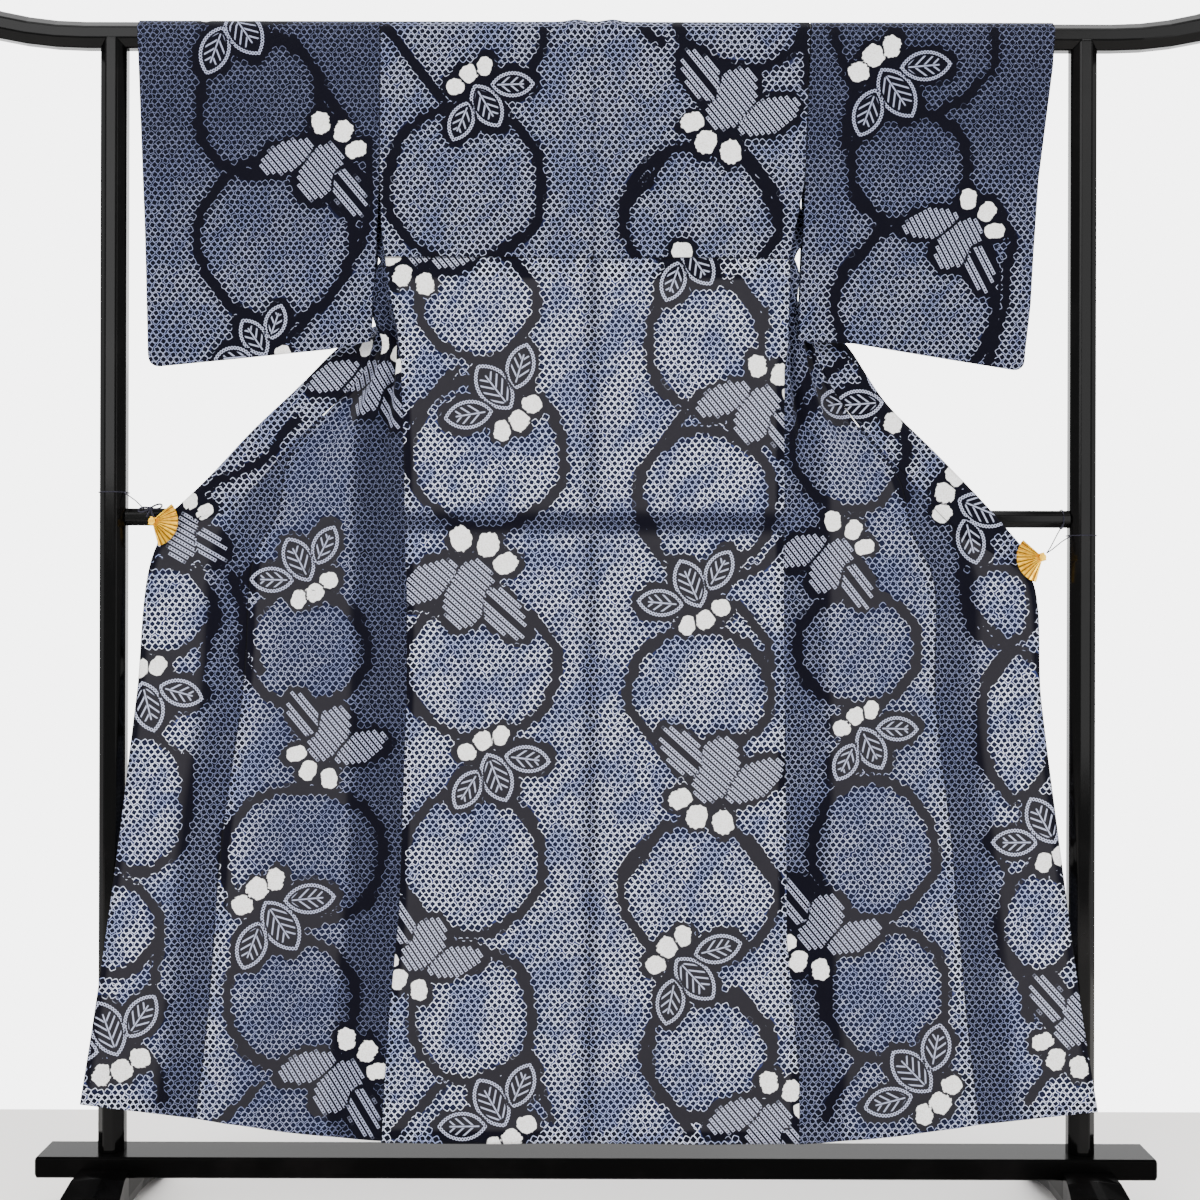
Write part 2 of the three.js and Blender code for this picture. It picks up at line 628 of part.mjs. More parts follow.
function sleeve(side) {
  const over = overBar(CLOTH / 2);
  const outline = SLEEVE[side];
  const xAt = (share, z) => lerp(atZ(outline, "cuff", z), atZ(outline, "arm", z), share);
  const width = Math.abs(xAt(1, 1240) - xAt(0, 1240));
  const corner = [0, 0.1, 0.35, 1].map((t) => (t * SLEEVE_CORNER_R) / width);
  const shares = [...corner, 0.16, 0.3, 0.45, 0.6, 0.75, 0.88, 1];
  const rise = (share) => {
    const inside = Math.max(0, SLEEVE_CORNER_R - share * width);
    return SLEEVE_CORNER_R - Math.sqrt(SLEEVE_CORNER_R ** 2 - inside ** 2);
  };
  const levels = [0.012, 0.06, 0.2, 0.38, 0.57, 0.8, 1];
  const rings = shares.map((share) => {
    const low = bottomZ(side, xAt(share, 1240)) + rise(share);
    const point = (y, z) => new THREE.Vector3(xAt(share, z), y, z);
    const layer = (sign) =>
      levels.map((level) => {
        const z = lerp(low, BAR_Z - 12, level);
        const round = Math.min(1, level / 0.04) ** 0.5;
        return point(sleeveLean(share, z) + sign * sleeveHalf(share, z) * round, z);
      });
    const top = [over.nearCorner, over.nearTop, over.farTop, over.farCorner].map(([y, z]) => point(y, z));
    return [point(sleeveLean(share, low), low), ...layer(-1), ...top, ...layer(1).reverse()];
  });
  const tube = toManifold(wall(rings, CLOTH, { ring: true }));
  const cuffTop = over.top[1] - CUFF_DEPTH;
  const seamHeights = evenly(6).map((t) => lerp(bottomZ(side, xAt(0, 1240)) + SLEEVE_CORNER_R, cuffTop, t));
  const seam = seamHeights.map((z) =>
    [-1, 0, 1].map((y) => {
      const inward = Math.sign(xAt(1, z) - xAt(0, z)) * CLOTH * 0.5;
      return new THREE.Vector3(xAt(0, z) + inward, y * sleeveHalf(0, z), z);
    }),
  );
  return fromManifold(tube.add(toManifold(wall(seam, CLOTH))));
}

// Clips: a pleated brass fan whose jaw grips the collar's end, tied back to the rack by a cord.
const FAN = { radius: 37, hub: 5, from: -75, to: 41, ribs: 10, pleat: 1.4, wall: 1.0, y: -29.6 };
const PIVOT = { left: [-638, 1004.5], right: [637, 956] };
const JAW = { before: 5, length: 36, height: 12, near: -27.2, far: -16.8 };
const CORD_R = 0.8;

// A point in the fan's plane at a distance and angle from the pivot; angles open towards the cloth.
function fanPoint(side, radius, degrees, y) {
  const a = (degrees * Math.PI) / 180;
  const [x, z] = PIVOT[side];
  const towards = side === "left" ? 1 : -1;
  return new THREE.Vector3(x + towards * radius * Math.cos(a), y, z + radius * Math.sin(a));
}

function clipFan(side) {
  const steps = evenly(2 * FAN.ribs);
  const grid = [FAN.hub * 0.6, FAN.radius].map((radius, i) =>
    steps.map((t, k) => {
      const pleat = (k % 2 ? 1 : -1) * FAN.pleat * (i ? 1 : 0.25);
      return fanPoint(side, radius, lerp(FAN.from, FAN.to, t), FAN.y + pleat);
    }),
  );
  const hub = new THREE.CylinderGeometry(FAN.hub, FAN.hub, 4.6, 16);
  hub.translate(PIVOT[side][0], FAN.y - 0.2, PIVOT[side][1]);
  return fromManifold(toManifold(wall(grid, FAN.wall)).add(toManifold(hub)));
}

// The jaw points along the fan's middle. The cloth it grips is cut out of it with the usual gap.
function clipJaw(side, gripped) {
  const middle = (FAN.from + FAN.to) / 2;
  const depth = JAW.far - JAW.near;
  const block = new THREE.BoxGeometry(JAW.length, depth, JAW.height);
  block.translate(JAW.length / 2 - JAW.before, (JAW.near + JAW.far) / 2, 0);
  const turn = side === "left" ? -middle : middle + 180;
  block.rotateY((turn * Math.PI) / 180);
  block.translate(PIVOT[side][0], 0, PIVOT[side][1]);
  return fromManifold(gripped.reduce((left, cloth) => left.subtract(cloth), toManifold(block)));
}

// A loop of cord round a piece of timber: place and the two directions across it.
function cordLoop(centre, width, u, v) {
  const r = width / 2 + GAP + CORD_R;
  const points = timberOutline(2 * r, 1.6).map(([a, b]) =>
    centre.clone().addScaledVector(u, a).addScaledVector(v, b),
  );
  return cord(points, CORD_R, { closed: true });
}

const X_AXIS = new THREE.Vector3(1, 0, 0);
const Y_AXIS = new THREE.Vector3(0, 1, 0);
const Z_AXIS = new THREE.Vector3(0, 0, 1);

// The ties start at the clip's back, clear of the fan and the jaw, and end in a loop on the rack.
const TIE = {
  left: [
    { loopAt: [-POST_X, 0, 1047], on: "post", way: [[-684.5, -10.9, 1047], [-664, -22, 1034], [-648, -26, 1019.5], [-643.5, -26.5, 1011.5]] },
  ],
  right: [
    { loopAt: [POST_X, 0, 988], on: "post", way: [[684.5, -10.9, 988], [668, -20, 979], [652, -25, 967], [644, -26.5, 962]] },
    { loopAt: [672.5, 0, RAIL_Z], on: "rail", way: [[672.5, -13.6, 1006], [662, -18, 990], [650, -24, 970], [644, -26.5, 962]] },
  ],
};

function clipTie(side) {
  let whole = null;
  for (const { loopAt, on, way } of TIE[side]) {
    const [u, width] = on === "post" ? [X_AXIS, BAR_W] : [Y_AXIS, RAIL_W];
    const v = on === "post" ? Y_AXIS : Z_AXIS;
    const loop = toManifold(cordLoop(new THREE.Vector3(...loopAt), width, u, v));
    const line = toManifold(cord(way.map((p) => new THREE.Vector3(...p)), CORD_R));
    whole = (whole ? whole.add(loop) : loop).add(line);
  }
  return fromManifold(whole);
}

// The bow on the left tie: two loops and two short tails round a knot.
const BOW = { centre: [-641, -28.2, 1023], loop: 17, tail: 13, r: 1.3 };

function bow() {
  const centre = new THREE.Vector3(...BOW.centre);
  const knot = new THREE.SphereGeometry(2.6, 8, 6);
  knot.translate(...BOW.centre);
  let whole = toManifold(knot);
  for (const sign of [-1, 1]) {
    const loop = evenly(11).slice(0, 11).map((t) => {
      const a = t * 2 * Math.PI;
      const out = (1 - Math.cos(a)) / 2;
      const dx = sign * BOW.loop * out;
      const dz = 4.2 * Math.sin(a) * out ** 0.5 + 3.5 * out * sign;
      return centre.clone().add(new THREE.Vector3(dx, -0.6 * out, dz));
    });
    const tail = [0, 0.5, 1].map((t) =>
      centre.clone().add(new THREE.Vector3(sign * 5 * t, -1.2 * t, -BOW.tail * t ** 0.8)),
    );
    const across = new THREE.Vector3(0, 1, 0);
    whole = whole.add(toManifold(cord(loop, BOW.r, { closed: true, across })));
    whole = whole.add(toManifold(cord(tail, BOW.r, { across })));
  }
  return fromManifold(whole);
}

// Finishes
const finish = (color, roughness, metalness = 0) =>
  new THREE.MeshStandardMaterial({ color, roughness, metalness });
const LACQUER = finish(0x0c0b0b, 0.15);
const COTTON = finish(0x4a587f, 0.9);
const COTTON_DARK = finish(0x39466d, 0.9);
const BRASS = finish(0xc08a2c, 0.3, 1);
const CORD = finish(0x14122a, 0.8);

const yukata = new THREE.Group();

function add(name, geometry, material) {
  const mesh = new THREE.Mesh(geometry, material);
  mesh.name = name;
  yukata.add(mesh);
}

add("top_bar", topBar(), LACQUER);
add("crossbar", crossbar(), LACQUER);
add("base_beam", baseBeam(), LACQUER);
const SIDES = ["left", "right"];
const collarRoom = toManifold(collar(1.6 * GAP));
for (const side of SIDES) {
  const x = side === "left" ? -POST_X : POST_X;
  add(`post_${side}`, post(x), LACQUER);
  add(`foot_${side}`, foot(x), LACQUER);
}
for (const side of SIDES) {
  const length = toManifold(backPanel(side)).add(toManifold(frontPanel(side)));
  const panel = toManifold(overlapPanel(side)).subtract(collarRoom);
  add(`body_${side}`, fromManifold(length.subtract(collarRoom)), COTTON);
  add(`overlap_${side}`, fromManifold(panel), COTTON_DARK);
  add(`sleeve_${side}`, sleeve(side), COTTON);
  add(`clip_fan_${side}`, clipFan(side), BRASS);
  add(`clip_jaw_${side}`, clipJaw(side, [collarRoom, panel]), BRASS);
  add(`clip_tie_${side}`, clipTie(side), CORD);
}
const collarClear = toManifold(collar()).subtract(toManifold(topBar(GAP)));
add("collar", fromManifold(collarClear), COTTON_DARK);
add("clip_bow_left", bow(), CORD);

export default yukata;
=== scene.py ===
"""Look of a shibori yukata on a black lacquered rack, seen from the back of the garment.

Metres in Blender; the tables are in millimetres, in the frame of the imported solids: +X to the
viewer's right, +Y away from the viewer, +Z up.
"""
import math

import bpy
import numpy as np
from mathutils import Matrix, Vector


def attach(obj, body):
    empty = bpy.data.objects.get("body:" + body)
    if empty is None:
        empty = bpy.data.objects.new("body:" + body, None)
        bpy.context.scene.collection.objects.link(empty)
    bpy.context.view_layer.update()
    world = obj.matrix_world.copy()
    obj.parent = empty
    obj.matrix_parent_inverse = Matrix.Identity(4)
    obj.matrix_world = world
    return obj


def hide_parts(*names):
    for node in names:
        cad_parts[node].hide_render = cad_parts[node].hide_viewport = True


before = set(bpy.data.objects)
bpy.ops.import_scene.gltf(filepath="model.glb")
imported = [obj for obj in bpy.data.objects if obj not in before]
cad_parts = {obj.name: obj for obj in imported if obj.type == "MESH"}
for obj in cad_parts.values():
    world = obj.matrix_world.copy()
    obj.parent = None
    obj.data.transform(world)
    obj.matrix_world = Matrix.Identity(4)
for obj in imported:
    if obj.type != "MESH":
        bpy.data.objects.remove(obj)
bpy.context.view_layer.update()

MM = 0.001

# Sizes that the solids share
BAR_W = 38.0
BAR_Z = 1708.9
FACE_Z = BAR_Z - 12  # the bar's upright faces end here
GAP = 0.3
CLOTH = 1.2
SHOULDER_R = BAR_W / 2 + GAP + CLOTH / 2
NECK_HALF = 78.0
CENTRE_TOP_X = -6.9
CENTRE_HEM_X = -10.8
HEM_Z = 112.0
ARMHOLE_Z = 1497.0
CUFF_Z = 1499  # lower end of the open cuff
SLEEVE_LOW_Z = 1240
SLEEVE_CORNER_R = 17.0
SIDE_LAP = 1.5
SIDES = ("left", "right")
OUT = {"left": -1, "right": 1}  # way to each side along x

# Look of the cloth
TUCK_STEP = 1.0  # how far the cloth over the back's tuck stands proud
TUCK_EDGE = 0.4
TUCK_FADE = 45.0
CELL = 5.5  # side of a mesh face
SKIN = 0.7  # drawn thickness of one layer
COLLAR_SKIN = 1.8
SEAM_LAP = 0.3  # how far drawn pieces reach past a seam line

# Side seams of the back panels: height, x
BACK = {
    "left": [
        (1730, -314), (1497, -315), (1425, -312), (1339, -300.6), (1282, -289), (1239, -283.4),
        (1102, -279), (894, -274.8), (765, -274.8), (448, -284.9), (294, -299.2), (165, -307.8),
        (112, -309.2),
    ],
    "right": [
        (1730, 305), (1497, 296.5), (1392, 276), (1258, 273.2), (1225, 268), (892, 269),
        (404, 274.8), (206, 293), (112, 293.6),
    ],
}

# The fronts from the bar down: height at the side seam, 1 where they hang behind the bar, outer edge,
# the collar's free edge, width of the overlap panel, and depths of gathers, sag and bulges
FRONT_COLUMNS = "sz open ex ey ez fx fy fz overlap pleat sag out near".split()
FRONT = {
    "left": [
        (1697, 1, -94, 20.6, 1697, -74, 28, 1645, 0, 0, 0, 0, 0),
        (1650, 1, -112, 23, 1655, -90, 31, 1612, 0, 1.5, 0, 0, 0),
        (1590, 1, -144, 26, 1600, -115, 35, 1561, 0, 5, 2, 0, 0),
        (1497, 1, -200, 29, 1515, -163, 41, 1478, 0, 11, 4, 0, 0),
        (1430, 0.75, -252, 28, 1442, -213, 52, 1408, 0, 15, 4, 10, 9),
        (1362, 0, -292, 23, 1370, -262, 62, 1348, 0, 16, 2, 27, 9),
        (1310, 0, -316, 19, 1302, -316, 70, 1310, 0, 16, 0, 20, 8),
        (1280, 0, -331, 16, 1258, -362, 52, 1286, 0, 16, 0, 0, 0),
        (1250, 0, -348, 13, 1216, -388, 22, 1255.6, 0, 15, 2, 0, 0),
        (1165, 0, -401, 3, 1160, -440, 10, 1199, 3, 12, 4, 0, 0),
        (1075, 0, -461, -9, 1096, -501, -5, 1136, 14, 6, 6, 0, 0),
        (985, 0, -524, -18, 1028, -562, -16.5, 1066.7, 65, 1.5, 10, 0, 0),
        (880, 0, -634, -22, 968, -623, -21, 1008, 140, 2, 14, 0, 0),
        (750, 0, -662, -23, 751, 0, 0, 0, 152, 2, 4, 0, 0),
        (550, 0, -686.7, -24, 545, 0, 0, 0, 148, 2, 2, 0, 0),
        (330, 0, -717, -25, 322, 0, 0, 0, 162, 2, 2, 0, 0),
        (114.6, 0, -740.6, -26, 167.3, 0, 0, 0, 167, 2, 4, 0, 0),
    ],
    "right": [
        (1697, 1, 80, 20.6, 1697, 60, 28, 1645, 0, 0, 0, 0, 0),
        (1650, 1, 98, 23, 1655, 76, 31, 1612, 0, 1.5, 0, 0, 0),
        (1590, 1, 130, 26, 1600, 101, 35, 1561, 0, 5, 2, 0, 0),
        (1497, 1, 186, 29, 1515, 149, 41, 1478, 0, 11, 4, 0, 0),
        (1430, 0.75, 238, 28, 1442, 199, 52, 1408, 0, 15, 4, 15, 9),
        (1362, 0, 278, 23, 1370, 249, 62, 1348, 0, 16, 2, 13, 13),
        (1310, 0, 301, 19, 1302, 303, 70, 1310, 0, 16, 0, -3, 3),
        (1280, 0, 315, 16, 1262, 342, 52, 1292, 0, 16, 0, 0, 0),
        (1250, 0, 329, 13, 1224, 367, 22, 1263.7, 0, 15, 2, 0, 0),
        (1165, 0, 381, 3, 1145, 419, 10, 1182, 3, 12, 4, 0, 0),
        (1075, 0, 448, -11, 1070, 488, -8, 1107, 14, 5, 6, 0, 0),
        (985, 0, 516, -18.5, 996, 556, -17, 1034, 65, 1.5, 8, 0, 0),
        (880, 0, 621.5, -22, 929, 612, -21, 969, 138, 2, 12, 0, 0),
        (750, 0, 638, -23, 750, 0, 0, 0, 152, 2, 4, 0, 0),
        (550, 0, 664, -24, 545, 0, 0, 0, 155, 2, 2, 0, 0),
        (330, 0, 693.5, -25, 325, 0, 0, 0, 165, 2, 2, 0, 0),
        (111.6, 0, 719.7, -26, 160.7, 0, 0, 0, 171, 2, 4, 0, 0),
    ],
}
CLIP_ROW = 12  # the row of the clip, and the first rows of the overlap panel and the creases
OVERLAP_ROW = 9
CREASED_FROM = 9
PLEATS = 2
LEAST_OVERLAP = 0.5

# The collar from the centre back to the shoulder: seam edge, bend and free edge
NAPE_COLUMNS = "ex ey ez kx ky kz fx fy fz".split()
NAPE = [
    (0, 14.6, 1723.5, 0, 21, 1717.3, 0, 22, 1669),
    (42, 14.6, 1723.5, 41, 21, 1717.3, 34, 23, 1667),
    (72, 14.6, 1723.5, 69, 21, 1717.3, 53, 25, 1661),
    (79, 18.9, 1720, 75, 21.2, 1713, 57, 25.5, 1658),
    (84, 21.6, 1714, 79, 21.8, 1707, 61, 26.5, 1653),
]
BEND_SHARE = 0.16  # where along its width the collar bends

# The sleeves' edges: height, x of the cuff, x at the body
SLEEVE = {
    "left": [
        (1730, -664.4, -314.5), (1497, -657.5, -315.5), (1443, -655.7, -318), (1384, -654.5, -320.5),
        (1269, -652.9, -329), (1228, -652.9, -330),
    ],
    "right": [
        (1730, 656.5, 305.8), (1663, 653.6, 303.4), (1503, 635, 297.5), (1395, 629, 293.5),
        (1324, 626, 290), (1253, 618.8, 288.7), (1228, 618.8, 288.7),
    ],
}
# The sleeves' bottom folds: x, height
SLEEVE_BOTTOM = {
    "left": [(-653, 1229), (-390, 1255), (-329, 1266.5)],
    "right": [(619, 1226), (369, 1265.5), (288.7, 1268)],
}

# Pattern: sprays of leaves and buds, ovals of rings between them, and vines
TUCK_Z = 1385.0
FRONT_TUCK_Z = {"left": 906.0, "right": 926.0}
KINDS = {"outline": 1, "striped": 2, "split": 3, "bud": 4}
STRIPES_AT = -50  # direction of the stripes in a spray that isn't turned, in degrees
# Sprays: kind, x, z, half length, half width, direction in degrees
SPRAYS = {
    "outline": [
        ("outline", 0, 0, 42, 26, -56), ("outline", -41.6, -28.7, 37, 22, -110),
        ("outline", 41.6, 38.8, 38, 22, 5), ("bud", -55, 29.7, 15, 14, 20),
        ("bud", -33.6, 52.8, 16, 15, 50), ("bud", -8, 66.3, 16, 13, 80),
    ],
    "striped": [
        ("striped", 0, 0, 46, 30, -120), ("striped", -48.8, 21.5, 44, 22, -155),
        ("split", 38.5, -27.3, 42, 22, -58), ("bud", 0, 69.9, 16, 13, 100),
        ("bud", 32.7, 57.4, 16, 13, 70), ("bud", 50.7, 31.2, 16, 12, 20),
    ],
    "one bud": [("bud", 0, 0, 15, 13, 90)],
}
# Clusters: spray, x, z, turn in degrees, size
CLUSTERS = {
    "back_left_top": [("outline", -161, 1603, -3, 0.85)],
    "back_left": [
        ("striped", -249, 1416, 180, 1.0), ("outline", -149, 1198, 184, 0.95),
        ("striped", -185, 901, 8, 1.15), ("outline", -144, 638, -12, 0.9),
        ("striped", -248, 398, 174, 0.95), ("outline", -150, 171, 176, 0.95),
    ],
    "back_right_top": [("striped", 191, 1614, 179, 1.1), ("one bud", 120, 1394, 90, 1.0)],
    "back_right": [
        ("outline", 143, 1375, 0, 0.85), ("striped", 229, 1160, 0, 1.0),
        ("outline", 133, 917, 170, 0.9), ("striped", 170, 650, 188, 1.1),
        ("outline", 141, 350, 9, 0.95), ("striped", 248, 131, 0, 1.0),
    ],
    "front_left": [
        ("striped", -341, 1199, 0, 0.92), ("outline", -430, 950, 174, 0.85),
        ("striped", -385, 700, 180, 0.92), ("outline", -454, 424, 0, 1.0),
        ("striped", -370, 192, -9, 1.0), ("striped", -595, 981, 20, 0.8),
        ("outline", -645, 738, -20, 0.9), ("outline", -701, 276, 166, 1.0),
    ],
    "front_right": [
        ("outline", 421, 1218, 180, 1.0), ("striped", 336, 943, -2, 0.92),
        ("outline", 394, 681, -6, 0.82), ("striped", 322, 431, 180, 0.98),
        ("outline", 453, 217, 190, 0.97), ("outline", 555, 1024, 33, 0.95),
        ("outline", 640, 578, 175, 0.9), ("striped", 690, 294, 182, 1.0),
    ],
    "sleeve_left": [
        ("outline", -511, 1711, 0, 1.0), ("striped", -400, 1509, 0, 1.0),
        ("outline", -498, 1272, 180, 0.75),
    ],
    "sleeve_right": [("outline", 429, 1624, 0, 1.0), ("striped", 520, 1409, -12, 0.93)],
}
# Ovals: x, z, half width, half height
OVALS = {
    "back_left_top": [(-193, 1489, 112, 112)],
    "back_left": [
        (-173, 1317, 83, 79), (-160, 1102, 112, 108), (-169, 796, 111, 101), (-179, 517, 102, 103),
        (-179, 298, 88, 95),
    ],
    "back_right_top": [(205, 1725, 93, 65), (147, 1445, 112, 101)],
    "back_right": [
        (154, 1259, 83, 93), (154, 1036, 98, 101), (147, 763, 103, 89), (147, 472, 112, 101),
        (159, 239, 89, 89),
    ],
    "front_left": [
        (-420, 822, 89, 83), (-423, 524, 115, 98), (-439, 313, 92, 95), (-621, 877, 69, 65),
        (-657, 600, 72, 98), (-693, 421, 66, 66),
    ],
    "front_right": [
        (363, 1107, 82, 83), (374, 823, 89, 79), (398, 536, 89, 98), (417, 328, 86, 95),
        (578, 887, 49, 57), (604, 716, 55, 103), (637, 433, 57, 75),
    ],
    "sleeve_left": [(-488, 1601, 89, 98), (-467, 1411, 112, 115)],
    "sleeve_right": [(447, 1515, 86, 80), (457, 1314, 115, 118)],
}
# Vines: lines through places x, z
VINES = {
    "back_left_top": [[(-308, 1715), (-226, 1612)], [(-75, 1715), (-97, 1654)]],
    "back_left": [
        [(-124, 1383), (-93, 1348)], [(-205, 1220), (-276, 1152)], [(-223, 196), (-288, 127)],
        [(-95, 238), (-64, 148)],
    ],
    "back_right_top": [
        [(62, 1716), (93, 1695)], [(297, 1711), (297, 1632)], [(113, 1545), (45, 1464), (34, 1417)],
        [(206, 1527), (241, 1478), (256, 1427)],
    ],
    "back_right": [
        [(197, 1355), (236, 1312), (242, 1286)], [(124, 1160), (73, 1092), (57, 1042), (94, 950)],
        [(197, 891), (241, 836), (251, 800)], [(195, 923), (230, 937), (272, 986)],
        [(95, 570), (41, 489)], [(199, 564), (256, 489)], [(197, 334), (251, 278), (253, 238)],
        [(81, 267), (78, 212), (134, 130)],
    ],
    "front_left": [
        [(-434, 1153), (-480, 1098), (-577, 1042)], [(-479, 198), (-544, 142)],
        [(-634, 233), (-624, 177)], [(-574, 938), (-545, 873), (-571, 780), (-615, 719)],
        [(-591, 672), (-585, 643), (-594, 607)], [(-634, 457), (-624, 399), (-634, 342)],
        [(-521, 926), (-508, 858), (-482, 791)],
    ],
    "front_right": [
        [(364, 1244), (335, 1225), (288, 1171)], [(342, 1280), (376, 1247)],
        [(523, 936), (535, 877), (588, 827), (625, 857)],
        [(588, 810), (552, 752), (555, 683), (592, 604)],
        [(568, 547), (589, 499), (581, 454)], [(581, 390), (607, 353), (621, 295)],
        [(648, 222), (621, 172)], [(291, 497), (320, 474)], [(318, 335), (328, 298), (381, 231)],
        [(381, 231), (344, 183), (331, 148)], [(440, 1068), (443, 1041)],
    ],
    "sleeve_left": [
        [(-447, 1698), (-363, 1583)], [(-332, 1553), (-330, 1445), (-370, 1346), (-444, 1275)],
    ],
    "sleeve_right": [
        [(338, 1715), (364, 1623), (355, 1545)], [(569, 1714), (567, 1660), (533, 1618), (489, 1595)],
        [(387, 1459), (411, 1435), (351, 1366)], [(572, 1472), (598, 1410), (587, 1322), (567, 1233)],
    ],
}
# Soft ridges in the fronts, pulled by the clips or left by folding: x0, z0, x1, z1, width, height
CREASES = {
    "left": [
        (-634, 996, -560, 962, 7, 2.5), (-640, 985, -596, 905, 8, 2.0),
        (-628, 1004, -540, 1010, 6, 2.0), (-560, 930, -560, 560, 9, 2.2),
        (-455, 905, -440, 480, 14, 2.5), (-505, 1030, -420, 930, 10, 2.4),
        (-600, 700, -618, 200, 12, 2.5), (-520, 420, -530, 150, 14, 3.0),
    ],
    "right": [
        (632, 950, 560, 900, 7, 2.5), (636, 940, 604, 850, 8, 2.0), (624, 960, 545, 985, 6, 2.0),
        (432, 943, 524, 937, 4, 2.8), (440, 955, 520, 948, 3.5, 1.8), (446, 931, 512, 927, 3.5, 1.6),
        (548, 900, 545, 560, 9, 2.2), (450, 900, 440, 520, 14, 2.5), (585, 700, 600, 220, 12, 2.5),
        (500, 420, 505, 150, 14, 3.0),
    ],
}
FAR = 100.0  # further than any field reaches
BAND = 5.7  # half width of an oval's plain band
VINE = 5.0
ROUND_LEAF = 6.5  # plain cloth round a leaf
WANDER = 2.2  # how far bands and vines stray from their lines
LEAF_REACH = 12.0  # how far round a leaf the faces know it


def lerp(a, b, t):
    return a + (b - a) * t


def clamp(share):
    return min(1.0, max(0.0, share))


def calm(share, ends):
    """1 in the middle of a width and 0 at both its edges."""
    return min(1.0, ends * share) * min(1.0, ends * (1 - share))


def spot(row, letter):
    return np.array([row[letter + axis] for axis in "xyz"])


def at_z(rows, column, z):
    """Value of a column at a height, along straight lines between rows that run downwards."""
    zs = [row[0] for row in rows][::-1]
    values = [row[column] for row in rows][::-1]
    return float(np.interp(z, zs, values))


def smooth_row(columns, rows, t):
    """A row between the rows of a table, on a smooth curve through each column."""
    i = min(int(t), len(rows) - 2)
    f = t - i
    near = [max(0, min(len(rows) - 1, k)) for k in (i - 1, i, i + 1, i + 2)]
    a, b, c, d = (np.array(rows[k], float) for k in near)
    turn = 2 * a - 5 * b + 4 * c - d
    values = b + 0.5 * f * (c - a + f * (turn + f * (3 * (b - c) + d - a)))
    return dict(zip(columns, values))


def centre_x(z):
    return lerp(CENTRE_HEM_X, CENTRE_TOP_X, (z - HEM_Z) / (BAR_Z - HEM_Z))


DROP_HEIGHT, DROP_DEPTH = 400, 2.1


def back_drop(z):
    """How freely the back hangs: 0 at the bar and 1 from DROP_HEIGHT below it."""
    return clamp((BAR_Z - z) / DROP_HEIGHT)


def back_y(z):
    return -SHOULDER_R - DROP_DEPTH * back_drop(z)


def over_bar():
    """Places round the bar that the cloth's middle passes, near side to far side."""
    r = SHOULDER_R
    flat = r * math.tan(math.pi / 8)
    return {
        "near_face": (-r, FACE_Z), "near_corner": (-r, BAR_Z + flat), "near_top": (-flat, BAR_Z + r),
        "top": (0, BAR_Z + r), "far_top": (flat, BAR_Z + r), "far_corner": (r, BAR_Z + flat),
    }


OVER = over_bar()
HUMPS_AT, HUMP_WIDTH, HUMP_HEIGHT = (-33, 19), 15, 3.5


def nape_hump(x):
    """Rise of the back where the folded collar lies under it."""
    return HUMP_HEIGHT * sum(math.exp(-(((x - at) / HUMP_WIDTH) ** 2)) for at in HUMPS_AT)


def steps_between(values, spacing):
    """Parameters 0, .., n - 1 over the listed values, with more between, spacing apart at most."""
    out = [0.0]
    for i, (a, b) in enumerate(zip(values, values[1:])):
        count = max(1, math.ceil(abs(b - a) / spacing))
        out += [i + (k + 1) / count for k in range(count)]
    return out


def ripple(x, z, seed):
    """Uneven drape of thin cotton, from -1 to 1: three slow waves of unlike lengths."""
    return (
        0.5 * math.sin(x / 31 + seed + 0.6 * math.sin(z / 260 + seed))
        + 0.3 * math.sin(x / 17.3 + 2.1 * seed + z / 410)
        + 0.2 * math.sin(z / 67 + x / 120 + 3.3 * seed)
    )


# Grids: each gives points in rows and columns, and some give places on the flat cloth too
BELLY = 3  # depth of the back panel's slow bow
RIPPLE_DEPTH = 1.1
RIPPLE_SEED = {"left": 1.0, "right": 2.4}
END_CALM = 8  # a ripple dies out over one part in this of the width


def back_grid(side):
    """Back panel from the bar's top to the hem."""
    seam = -OUT[side] * SEAM_LAP
    shares = np.linspace(0, 1, math.ceil(abs(at_z(BACK[side], 1, BAR_Z)) / CELL) + 1)
    wraps = [np.array(OVER[k]) for k in ("top", "near_top", "near_corner", "near_face")]
    path = []
    for a, b in zip(wraps, wraps[1:]):
        path += [a, lerp(a, b, 0.5)]
    path.append(wraps[-1])
    heights = list(np.linspace(FACE_Z, HEM_Z, math.ceil((FACE_Z - HEM_Z) / CELL) + 1)[1:])
    heights = sorted(heights + [TUCK_Z + TUCK_EDGE, TUCK_Z - TUCK_EDGE], reverse=True)
    points, cloth = [], []
    over = [0.0]
    for a, b in zip(path, path[1:]):
        over.append(over[-1] + math.dist(a, b))

    def place(share, z):
        return lerp(at_z(BACK[side], 1, min(z, BAR_Z)), centre_x(min(z, BAR_Z)) + seam, share)

    for (y, z), travelled in zip(path, over):
        xs = [place(share, z) for share in shares]
        points.append([(x, y, z + nape_hump(x) * (z > BAR_Z)) for x in xs])
        cloth.append([(x, FACE_Z + over[-1] - travelled) for x in xs])
    for z in heights:
        row = []
        fall = back_drop(z)
        for share in shares:
            x = place(share, z)
            belly = BELLY * fall * math.sin(math.pi * share) ** 2
            wave = RIPPLE_DEPTH * fall * calm(share, END_CALM) * ripple(x, z, RIPPLE_SEED[side])
            tuck = TUCK_STEP * math.exp((TUCK_Z - z) / TUCK_FADE) if z > TUCK_Z else 0
            row.append((x, back_y(z) - belly - wave - tuck, z))
        points.append(row)
        cloth.append([(p[0], z) for p in row])
    return np.array(points), np.array(cloth)


